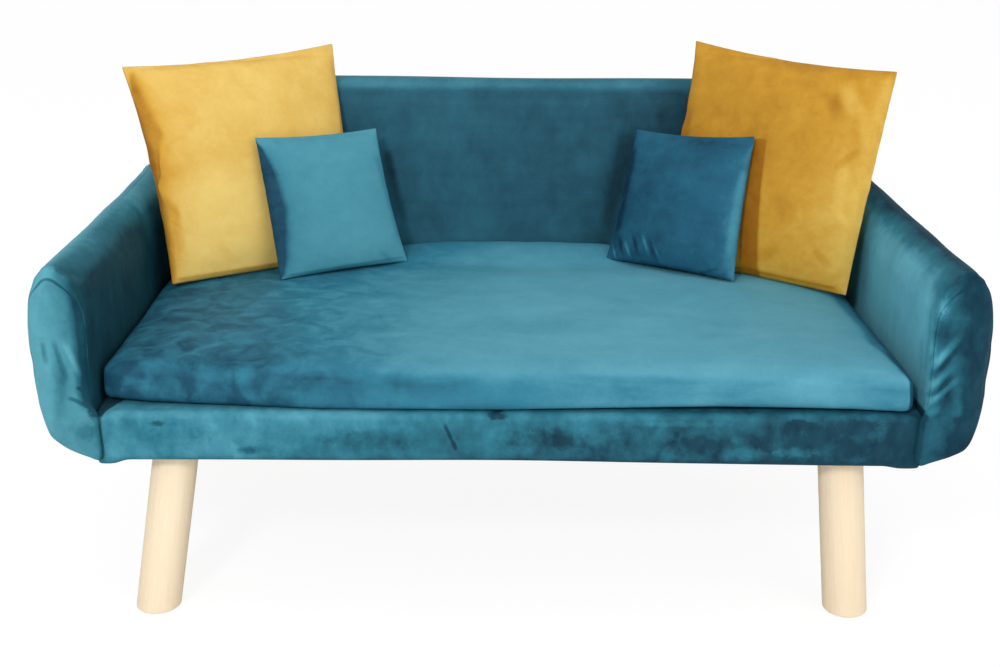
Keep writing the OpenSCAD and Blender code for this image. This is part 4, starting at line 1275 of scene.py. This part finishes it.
def flatten_seam(points, shares, cells):
    """Lays the seam flat again: both panels lose the bend that they share."""
    cell = grid_places(shares, cells)
    total, count = np.zeros((2, cells + 1, cells + 1))
    np.add.at(total, cell, points[:, 2])
    np.add.at(count, cell, 1)
    points[:, 2] -= (total / count)[cell]


def sewn_outline(shares, side, outline):
    """Where the seam runs: four corners, and how far each side is drawn in between them."""
    corners, (top, right, bottom, left) = outline
    u, v = ((shares.T + 1) / 2)[:, :, None]
    top_left, top_right, low_right, low_left = (np.array(c) * EAR_REACH for c in corners)
    line = (1 - v) * ((1 - u) * low_left + u * low_right) + v * ((1 - u) * top_left + u * top_right)
    drawn = EAR_REACH - 1
    line[:, 1] -= ((v * (top + drawn) - (1 - v) * (bottom + drawn)) * 4 * u * (1 - u))[:, 0]
    line[:, 0] += (((1 - u) * (left + drawn) - u * (right + drawn)) * 4 * v * (1 - v))[:, 0]
    return line * side / 2


def pull_to_outline(points, shares, cells, side, outline):
    """Moves the whole cushion so that its seam lies on its outline, blending inward."""
    i, j = grid_places(shares, cells)
    gap = np.zeros((cells + 1, cells + 1, 2))
    gap[i, j] = sewn_outline(shares, side, outline) - points[:, :2]
    s, t = i[:, None] / cells, j[:, None] / cells
    points[:, :2] += (
        (1 - s) * gap[0, j] + s * gap[cells, j] + (1 - t) * gap[i, 0] + t * gap[i, cells]
        - (1 - s) * (1 - t) * gap[0, 0] - s * (1 - t) * gap[cells, 0]
        - (1 - s) * t * gap[0, cells] - s * t * gap[cells, cells]
    )


def cushion_height(u, v, full):
    """The height of a cushion's face at shares of its half side, as the construction has it."""
    cos_u = np.sqrt(np.clip(1 - u**2, 0, 1))
    cos_v = np.sqrt(np.clip(1 - v**2, 0, 1))
    return full / 2 * (cos_u * cos_v) ** 0.9


def placed(points, foot, turn, lean, side):
    """From a cushion's own frame to its place on the seat, leaning back on its lower edge."""
    tilt = math.radians(90 - lean)
    x, y, z = (points + (0, side / 2, 0)).T
    y, z = y * math.cos(tilt) - z * math.sin(tilt), y * math.sin(tilt) + z * math.cos(tilt)
    turned = math.radians(turn)
    x, y = x * math.cos(turned) - y * math.sin(turned), x * math.sin(turned) + y * math.cos(turned)
    return np.stack([x, y, z], 1) + foot


BIG_CELLS = 60
SMALL_CELLS = 46
FLAT_SHARE = 1.03
RELAX_PASSES = 5
BLOWN_SHARE = 0.28
EAR_REACH = 1.014


def stuffed_cushion(name, side, full, cells, foot, turn, lean, outline, folds):
    """One throw cushion, blown up, fitted to its size, folded and laid in its place."""
    points, faces, shares = sewn_panels(side * FLAT_SHARE, cells, full * 0.30)
    piece = link(name, points, faces)
    fill_with_air(piece, pressure=5.0, cap=side, frames=22, stiffness=12.0, bending=8.0)
    smoothed(piece, factor=0.5, passes=RELAX_PASSES)
    settle(piece)
    points = points_of(piece)
    flatten_seam(points, shares, cells)
    pull_to_outline(points, shares, cells, side, outline)
    points[:, 2] *= full / 2 / np.abs(points[:, 2]).max()
    u, v = (np.clip(points[:, k] / (side / 2), -1, 1) for k in (0, 1))
    even = cushion_height(u, v, full)
    blown = np.minimum(np.abs(points[:, 2]), even + 0.0008)
    points[:, 2] = np.sign(points[:, 2]) * (blown * BLOWN_SHARE + even * (1 - BLOWN_SHARE))
    set_points(piece, points)
    finer(piece)
    points, out = points_of(piece), normals_of(piece)
    lift, level = np.zeros(len(points)), points * (1, 1, 0)
    for start, end, width, height in laid(folds, lambda x, y: (x, y, 0)):
        lift += fold(level, start, end, width, height) * (points[:, 2] > 0)
    inside = side / 2 - np.abs(points[:, :2]).max(1)
    lift *= step(0.0, 0.006, inside)
    set_points(piece, points + out * lift[:, None])
    set_points(piece, placed(points_of(piece), foot, turn, lean, side))
    return piece


def foot_of(node, place):
    """The middle of a cushion's lower edge: its place across and in depth, at its node's lowest."""
    return (*place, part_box(node)[0].z)


cushions = {
    "big_left": ((-0.3065, 0.06975), 31.9, 18.7, 0.273, 0.060),
    "big_right": ((0.3013, 0.06360), -36.7, 18.9, 0.279, 0.060),
    "small_left": ((-0.2085, 0.06185), 31.7, 23.0, 0.177, 0.038),
    "small_right": ((0.2084, 0.06750), -33.0, 20.6, 0.174, 0.038),
}
# Each outline: its corners as shares of the half side (top left, top right, lower right, lower left),
# then how far its top, right, lower and left sides are drawn in.
cushion_outlines = {
    "big_left": (
        ((-1.058, 1.030), (1.035, 1.100), (0.975, -0.985), (-0.955, -0.965)),
        (0.040, 0.014, -0.004, 0.052),
    ),
    "big_right": (
        ((-0.980, 1.112), (1.033, 1.014), (1.016, -0.980), (-1.032, -0.975)),
        (0.040, 0.0, -0.004, 0.090),
    ),
    "small_left": (
        ((-0.960, 1.095), (0.950, 1.050), (1.030, -0.985), (-1.015, -0.960)),
        (0.028, 0.055, 0.012, 0.006),
    ),
    "small_right": (
        ((-1.005, 1.060), (0.890, 1.165), (1.025, -0.955), (-1.075, -0.965)),
        (0.045, 0.020, 0.020, 0.0),
    ),
}
# Each fold: start, end and width in millimetres on the cushion's face, then its height.
cushion_folds = {
    "big_left": [(-120, -124, 130, -124, 3.6, 0.0006), (60, -70, 100, -105, 6, -0.0007)],
    "big_right": [
        (-130, -126, 130, -126, 3.6, 0.0007), (130, -60, 108, -35, 6, 0.0008),
        (132, -10, 112, 20, 6, -0.0008), (110, 100, 122, 50, 7, 0.0009), (20, -112, 60, -85, 7, 0.0006),
    ],
    "small_left": [(64, -82, 46, -66, 4, 0.0006), (40, -83, 30, -68, 4, -0.0006)],
    "small_right": [
        (-78, -82, -62, -50, 3.4, 0.0009), (-64, -84, -50, -40, 3.4, -0.0008),
        (-52, -83, -36, -38, 3.6, 0.0009), (-34, -83, -20, -44, 3.6, -0.0007),
        (-16, -83, -6, -52, 3.6, 0.0007), (64, -80, 50, -60, 3.6, 0.0007),
    ],
}
thrown = {}
for name, (place, turn, lean, side, full) in cushions.items():
    big = name.startswith("big")
    thrown[name] = stuffed_cushion(
        f"{name}_velvet", side, full, BIG_CELLS if big else SMALL_CELLS,
        foot_of(f"{name}_cover", place), turn, lean, cushion_outlines[name], cushion_folds[name],
    )
    print(name, "faces:", len(thrown[name].data.polygons))


# %% [markdown]
# Every cushion's marks are measured in its own frame: across from its middle and up from its middle.
# One side turns away and takes another tone, in a band that is wider than the seam's rounding: painted
# shade on the left cushions and a painted highlight on the right ones. Three of them are painted
# lighter on their lower part, and the strokes paint light and shade along folds and creases. The
# long dark strip on the right mustard cushion is painted. It stands for the edge of the shadow that the
# small cushion throws in the photo, which is harder than the lamps here make it.

# %% Cushion velvet
ON_FACE = (1, 1, 0.03)
cushion_shade_strokes = {
    "big_left": [
        (-128, -127, 132, -127, 3, -0.30, 0.03), (-72, -86, -48, -122, 10, -0.12, 0.45),
        (12, -88, 50, -120, 10, -0.12, 0.45), (118, 30, 126, -40, 8, -0.14, 0.45),
    ],
    "big_right": [
        (-130, -128, 132, -131, 3, -0.30, 0.03), (66, 112, 100, 64, 13, -0.18, 0.45),
        (84, 128, 119, 68, 15, 0.22, 0.45), (108, 70, 116, -70, 11, 0.16, 0.45),
        (98, 10, 130, 46, 7, -0.20, 0.45), (86, -78, 120, -110, 8, -0.16, 0.45),
        (20, -118, 62, -88, 10, -0.12, 0.45), (-30, 64, 14, 24, 22, -0.10, 0.45),
        (34, -10, 64, -66, 20, -0.10, 0.45), (30, 100, 52, 50, 18, 0.10, 0.45),
    ],
    "small_left": [
        (-80, -81, 86, -81, 2.4, -0.30, 0.03), (72, 60, 83, -60, 9, -0.24, 0.10),
        (70, -86, 42, -64, 6, -0.18, 0.45),
    ],
    "small_right": [
        (-90, -58, -74, -88, 3.6, 0.36, 0.45), (-71, -50, -52, -82, 3.6, 0.34, 0.45),
        (-45, -38, -26, -74, 3.6, 0.34, 0.45), (-25, -52, -7, -80, 3.4, 0.24, 0.45),
        (-82, -44, -62, -84, 4.6, -0.24, 0.45), (-59, -40, -40, -78, 4.6, -0.24, 0.45),
        (-36, -40, -16, -78, 4.6, -0.20, 0.45), (-84, 70, -84, -50, 12, -0.26, 0.10),
        (40, -82, 70, -70, 3.4, -0.20), (-70, -83, 86, -83, 2.4, -0.25, 0.03),
        (74, 60, 78, -60, 8, 0.16, 0.10),
    ],
}
shadow_strips = {"big_right": ((-0.0065, 0.036), (0.0165, -0.150), 0.0165, 0.48)}


def cushion_tones(name, sign, depth, start=0.05, end=0.50, low=0.0):
    """Painted light and shade: the band of the side that turns away, a lighter lower part, and the strokes.
    """
    turn, _, side = cushions[name][1:4]
    away = (sign * math.cos(math.radians(turn)), sign * math.sin(math.radians(turn)), 0)

    def raised(x, y):
        return (x, y + side / 2, 0.01)

    def tones(finish):
        lower = finish.along("Y", side * 0.62, side * 0.28)
        front_half = finish.along("Z", -0.001, 0.003)
        mottle = finish.noise(48.0, 4.0, shift=(2, 6, 3), distortion=0.7)
        tone = finish.facing(away, start, end) * depth + lower * low
        if name in shadow_strips:
            top, foot, width, strength = shadow_strips[name]
            strip = finish.line(raised(*top), raised(*foot), width, ON_FACE, 0.03)
            tone = tone - (strip * 3.0).clamped() * front_half * strength
        strokes = finish.strokes(laid(cushion_shade_strokes[name], raised), ON_FACE)
        return tone + mottle * 0.24 + strokes * front_half

    return tones


def cushion_frame(name):
    """A cushion's own frame: its foot, and the tilt that lays it back and turns it."""
    place, turn, lean = cushions[name][:3]
    return foot_of(f"{name}_cover", place), (math.radians(90 - lean), 0, math.radians(turn))


def cushion_velvet(name, title, colours, lie, band, **look):
    """One cushion's velvet, with its grain and its marks in the cushion's own frame."""
    tones, own_frame = cushion_tones(name, *band), cushion_frame(name)
    return velvet(title, *colours, lie, extra=tones, grain_frame=own_frame, **look)


SATIN = dict(sheen=0.10, sheen_colour="F0D08A", streak_stretch=(5, 20, 5), roughness=0.62, shine=0.10)
SMALL_CLOTH = dict(sheen=0.06, shine=0.10, streak_stretch=(7, 30, 7))
# Each band: which side turns away, the depth of its painted tone (darker below 0, lighter above), the
# shares of facing where it starts and ends, and the painted lift of the lower part.
mustard_left = cushion_velvet(
    "big_left", "mustard_left_velvet", ("8E560C", "CD9B3A", "E8C974"), (0.3, -0.6, 0.4),
    (-1, -0.50, 0.05, 0.55, 0.24), lie_share=0.30, start=0.47, smudge=0.20, seed=12, **SATIN,
)
mustard_right = cushion_velvet(
    "big_right", "mustard_right_velvet", ("8E560C", "C2902F", "E0BC5E"), (0.3, -0.6, 0.1),
    (1, 0.14, 0.05, 0.50, 0.14), lie_share=0.20, start=0.35, smudge=0.30, seed=13, **SATIN,
)
small_teal_left = cushion_velvet(
    "small_left", "small_left_velvet", ("0A2F49", "397C8F", "5096A7"), (0.3, -0.6, 0.4),
    (-1, -1.10, 0.0, 0.55, 0.06), lie_share=0.20, start=0.64, smudge=0.24, seed=14, **SMALL_CLOTH,
)
small_teal_right = cushion_velvet(
    "small_right", "small_right_velvet", ("0B2C41", "235F79", "4F97A9"), (0.3, -0.6, 0.1),
    (1, 0.10), lie_share=0.20, start=0.31, smudge=0.34, seed=15, **SMALL_CLOTH,
)
for name, finish, slot, body in (
    ("big_left", mustard_left, "mustard_velvet", "big_cushion_left"),
    ("big_right", mustard_right, "mustard_velvet", "big_cushion_right"),
    ("small_left", small_teal_left, "small_cushion_velvet", "small_cushion_left"),
    ("small_right", small_teal_right, "small_cushion_velvet", "small_cushion_right"),
):
    piece = thrown[name]
    piece.data.materials.clear()
    piece.data.materials.append(finish)
    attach(piece, body)
    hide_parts(f"{name}_cover", f"{name}_filling")

# %% [markdown]
# ## The legs
# Four round legs of pale pine, set in at an angle. The construction has them as plain cut cylinders.
# The real ones have a rounded arris at the foot and growth lines along them, so each is built again
# as rings along its own axis, which also gives the grain an axis to follow.

# %% Leg pieces
LEG_R = 0.025
ARRIS = 0.0022
LEG_AROUND = 64
LEG_RINGS = 34
CORNERS = ("front_left", "front_right", "rear_left", "rear_right")


def leg_ends(node):
    """The middle of a leg's foot and of its top, from its node."""
    places = points_of(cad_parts[node])
    low, high = places[:, 2].min(), places[:, 2].max()
    foot = places[places[:, 2] < low + 1e-5]
    top = places[places[:, 2] > high - 1e-5]
    return tuple((e.max(0) + e.min(0)) / 2 for e in (foot, top))


def leg_piece(node):
    foot, top = (Vector(e) for e in leg_ends(node))
    axis = (top - foot).normalized()
    level = Vector((axis.x, axis.y, 0)).normalized()
    aside = Vector((-level.y, level.x, 0))
    turn = np.linspace(0, 2 * np.pi, LEG_AROUND, endpoint=False)
    rings = []
    heights = [0, 0.0004, 0.001, 0.0016, ARRIS, *np.linspace(0.008, top.z - foot.z, LEG_RINGS)]
    for rise in heights:
        drawn = ARRIS * (1 - math.sqrt(max(0.0, 1 - max(0.0, 1 - rise / ARRIS) ** 2)))
        radius = LEG_R - drawn
        middle = foot + axis * (rise / axis.z)
        across = [level * (math.cos(t) * radius / axis.z) for t in turn]
        rings.append(np.array([middle + a + aside * (math.sin(t) * radius) for a, t in zip(across, turn)]))
    points, faces = skin(rings)
    return link(f"{node}_wood", points, faces), foot, axis.to_track_quat("Z", "Y").to_euler()


def pine(name, seed, pale="F3E4CC", rings="E1C494", warmth=0.5, foot=(0, 0, 0), tilt=(0, 0, 0)):
    """Planed pine: fine lines along the grain and wider growth bands; a leg's grain tilts with it."""
    finish = Finish(name)
    finish.turn_grain(foot, tilt)
    shift = (seed * 0.31, seed * 0.17, seed * 0.43)
    bands = finish.noise(5.0, 3.0, stretch=(9, 9, 0.7), shift=shift, distortion=0.6)
    lines = finish.noise(30.0, 3.0, stretch=(9, 9, 0.35), shift=shift)
    pores = finish.noise(160.0, 2.0, stretch=(5, 5, 0.5), shift=shift)
    tone = 0.36 + bands * warmth + lines * 0.30 + pores * 0.12
    relief = lines + pores * 0.5
    shine = {"Specular IOR Level": 0.35}
    return finish.two_toned(tone, pale, rings, 0.52 + lines * 0.12, relief, 0.0004, **shine)


for number, corner_name in enumerate(CORNERS):
    leg, foot, tilt = leg_piece(f"leg_{corner_name}")
    leg.data.materials.append(pine(f"pine_{corner_name}", number + 1, foot=foot, tilt=tilt))
    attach(leg, "frame")
    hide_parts(f"leg_{corner_name}")
print("legs made")

# %% [markdown]
# ## Under and inside
# Turned over, the sofa shows a black dust cloth, its staples and the felt glides. The dust cloth is a
# flat sheet with a hole for each leg, drawn tight between its staples and slack in the middle. The
# boards, the bolts and the zip's slider keep their construction shapes and get their finishes.

# %% Dust cloth
dust_low, dust_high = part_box("dust_cover")
LEG_HOLE = 0.0266


def dust_piece():
    across, deep = 86, 42
    xs = np.linspace(dust_low.x, dust_high.x, across + 1)
    ys = np.linspace(dust_low.y, dust_high.y, deep + 1)
    points = np.array([(x, y, dust_low.z) for x in xs for y in ys])
    tops = [Vector(leg_ends(f"leg_{corner}")[1]) for corner in CORNERS]
    for top in tops:
        away = points[:, :2] - (top.x, top.y)
        far = np.linalg.norm(away, axis=1)
        near = (far < LEG_HOLE + 0.006) & (far > LEG_HOLE - 0.004)
        points[near, :2] = (top.x, top.y) + away[near] / far[near, None] * LEG_HOLE
    faces = []
    for i in range(across):
        for j in range(deep):
            a = i * (deep + 1) + j
            ring = [a, a + 1, a + deep + 2, a + deep + 1]
            middle = points[ring].mean(0)
            if all(math.hypot(middle[0] - t.x, middle[1] - t.y) > LEG_HOLE - 0.0015 for t in tops):
                faces.append(ring)
    edge = np.minimum(points[:, 0] - dust_low.x, dust_high.x - points[:, 0])
    edge = np.minimum(edge, np.minimum(points[:, 1] - dust_low.y, dust_high.y - points[:, 1]))
    points[:, 2] -= 0.0016 * (1 - np.exp(-edge / 0.06)) + np.abs(crumple(points, 0.12, 0.0005, 41))
    piece = link("dust_cloth", points, faces)
    thin = piece.modifiers.new("thickness", "SOLIDIFY")
    thin.thickness = 0.0005
    thin.offset = 1.0
    return settle(piece)


def dust_finish():
    finish = Finish("dust_cloth")
    weave = finish.noise(900.0, 1.0)
    cloudy = finish.noise(40.0, 3.0)
    relief = weave + cloudy * 0.4
    return finish.two_toned(0.5 + cloudy, "151517", "26262A", 0.85 + weave * 0.1, relief, 0.0002)


dust = dust_piece()
dust.data.materials.append(dust_finish())
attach(dust, "frame")
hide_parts("dust_cover")


# %% Finishes of the construction's own pieces
def plywood():
    finish = Finish("plywood")
    layers = finish.noise(14.0, 2.0, stretch=(0.6, 3, 3))
    flecks = finish.noise(220.0, 2.0, stretch=(1, 4, 4))
    tone = 0.45 + layers * 0.9 + flecks * 0.25
    return finish.two_toned(tone, "E2C493", "B98D56", 0.66 + flecks * 0.1, flecks, 0.0003)


def metal(name, colour, shade, roughness):
    finish = Finish(name)
    brushed = finish.noise(400.0, 2.0, stretch=(1, 1, 6))
    stains = finish.noise(60.0, 3.0)
    rough = roughness + brushed * 0.2
    return finish.two_toned(0.4 + stains, colour, shade, rough, brushed, 0.0001, Metallic=1.0)


def felt():
    finish = Finish("glide_felt")
    hairs = finish.noise(1200.0, 2.0, distortion=1.5)
    return finish.two_toned(0.5 + hairs, "3A3632", "6B645C", 0.93 + hairs * 0.05, hairs, 0.0004)


def zip_tape():
    finish = Finish("zip_tape")
    twill = finish.noise(1800.0, 1.0, stretch=(1, 1, 0.4))
    return finish.two_toned(0.5 + twill, "1C4A58", "2C6474", 0.8 + twill * 0.1, twill, 0.0002)


board_pine = pine("frame_pine", 9, "E8CFA2", "C79A62", 0.8)
board_ply = plywood()
zinc = metal("zinc_steel", "B9BDC0", "8E9498", 0.34)
brass = metal("insert_brass", "C9A45A", "9C7A38", 0.32)
zip_steel = metal("zip_metal", "A9ADB0", "7C8286", 0.28)
SIDES = ("left", "right")
bolting = [f"{part}_{kind}" for part in ("arm", "back") for kind in ("bolts", "washers", "t_nuts")]
for finish, nodes in (
    (board_pine, ["front_rail", "rear_rail", "centre_rail", "leg_blocks", "back_batten"]),
    (board_pine, [f"{part}_{side}" for part in ("side_rail", "arm_batten") for side in SIDES]),
    (board_ply, ["seat_deck", "back_core", *(f"arm_core_{side}" for side in SIDES)]),
    (zinc, ["frame_screws", "deck_screws", "hanger_bolts", "dust_cover_staples", *bolting]),
    (brass, ["leg_inserts"]),
    (felt(), ["floor_glides"]),
    (zip_steel, ["seat_zip_slider", "seat_zip_pull"]),
):
    for node in nodes:
        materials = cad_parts[node].data.materials
        materials.clear()
        materials.append(finish)

# %% [markdown]
# The zip behind the cushion is a tape with a row of interlocked teeth down its middle. The tape is a
# thin strip with rounded long edges, and the teeth are short bars set across it, one strip of each.

# %% Zip
TOOTH_PITCH = 0.0026


def zip_piece():
    middle = (np.array(zip_low) + np.array(zip_high)) / 2
    half = (np.array(zip_high) - np.array(zip_low)) / 2
    unit, faces = block_faces((60, 2, 4))
    tape = soft_block(unit, half * (1, 0.55, 1), (0.0004, 0.0003, 0.0004)) + middle
    tape[:, 1] -= half[1] * 0.45
    piece = link("seat_zip_tape", tape, faces)
    unit, faces = block_faces((2, 2, 2))
    teeth = int((zip_high.x - zip_low.x - 0.006) / TOOTH_PITCH)
    points, all_faces = [], []
    for t in range(teeth):
        offset = 0.0005 if t % 2 else -0.0005
        tooth = soft_block(unit, (0.0008, 0.00035, 0.0013), (0.0003, 0.0002, 0.0003))
        start = sum(len(p) for p in points)
        x = zip_low.x + 0.003 + t * TOOTH_PITCH
        points.append(tooth + (x, zip_high.y - 0.0004, middle[2] + offset))
        all_faces += [tuple(i + start for i in f) for f in faces]
    row = link("seat_zip_teeth", np.concatenate(points), all_faces)
    return piece, row


tape, teeth = zip_piece()
tape.data.materials.append(zip_tape())
teeth.data.materials.append(zip_steel)
for piece, slot in ((tape, "zip_tape"), (teeth, "zip_metal")):
    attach(piece, "seat_cushion")
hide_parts("seat_zip")
print("inner pieces finished")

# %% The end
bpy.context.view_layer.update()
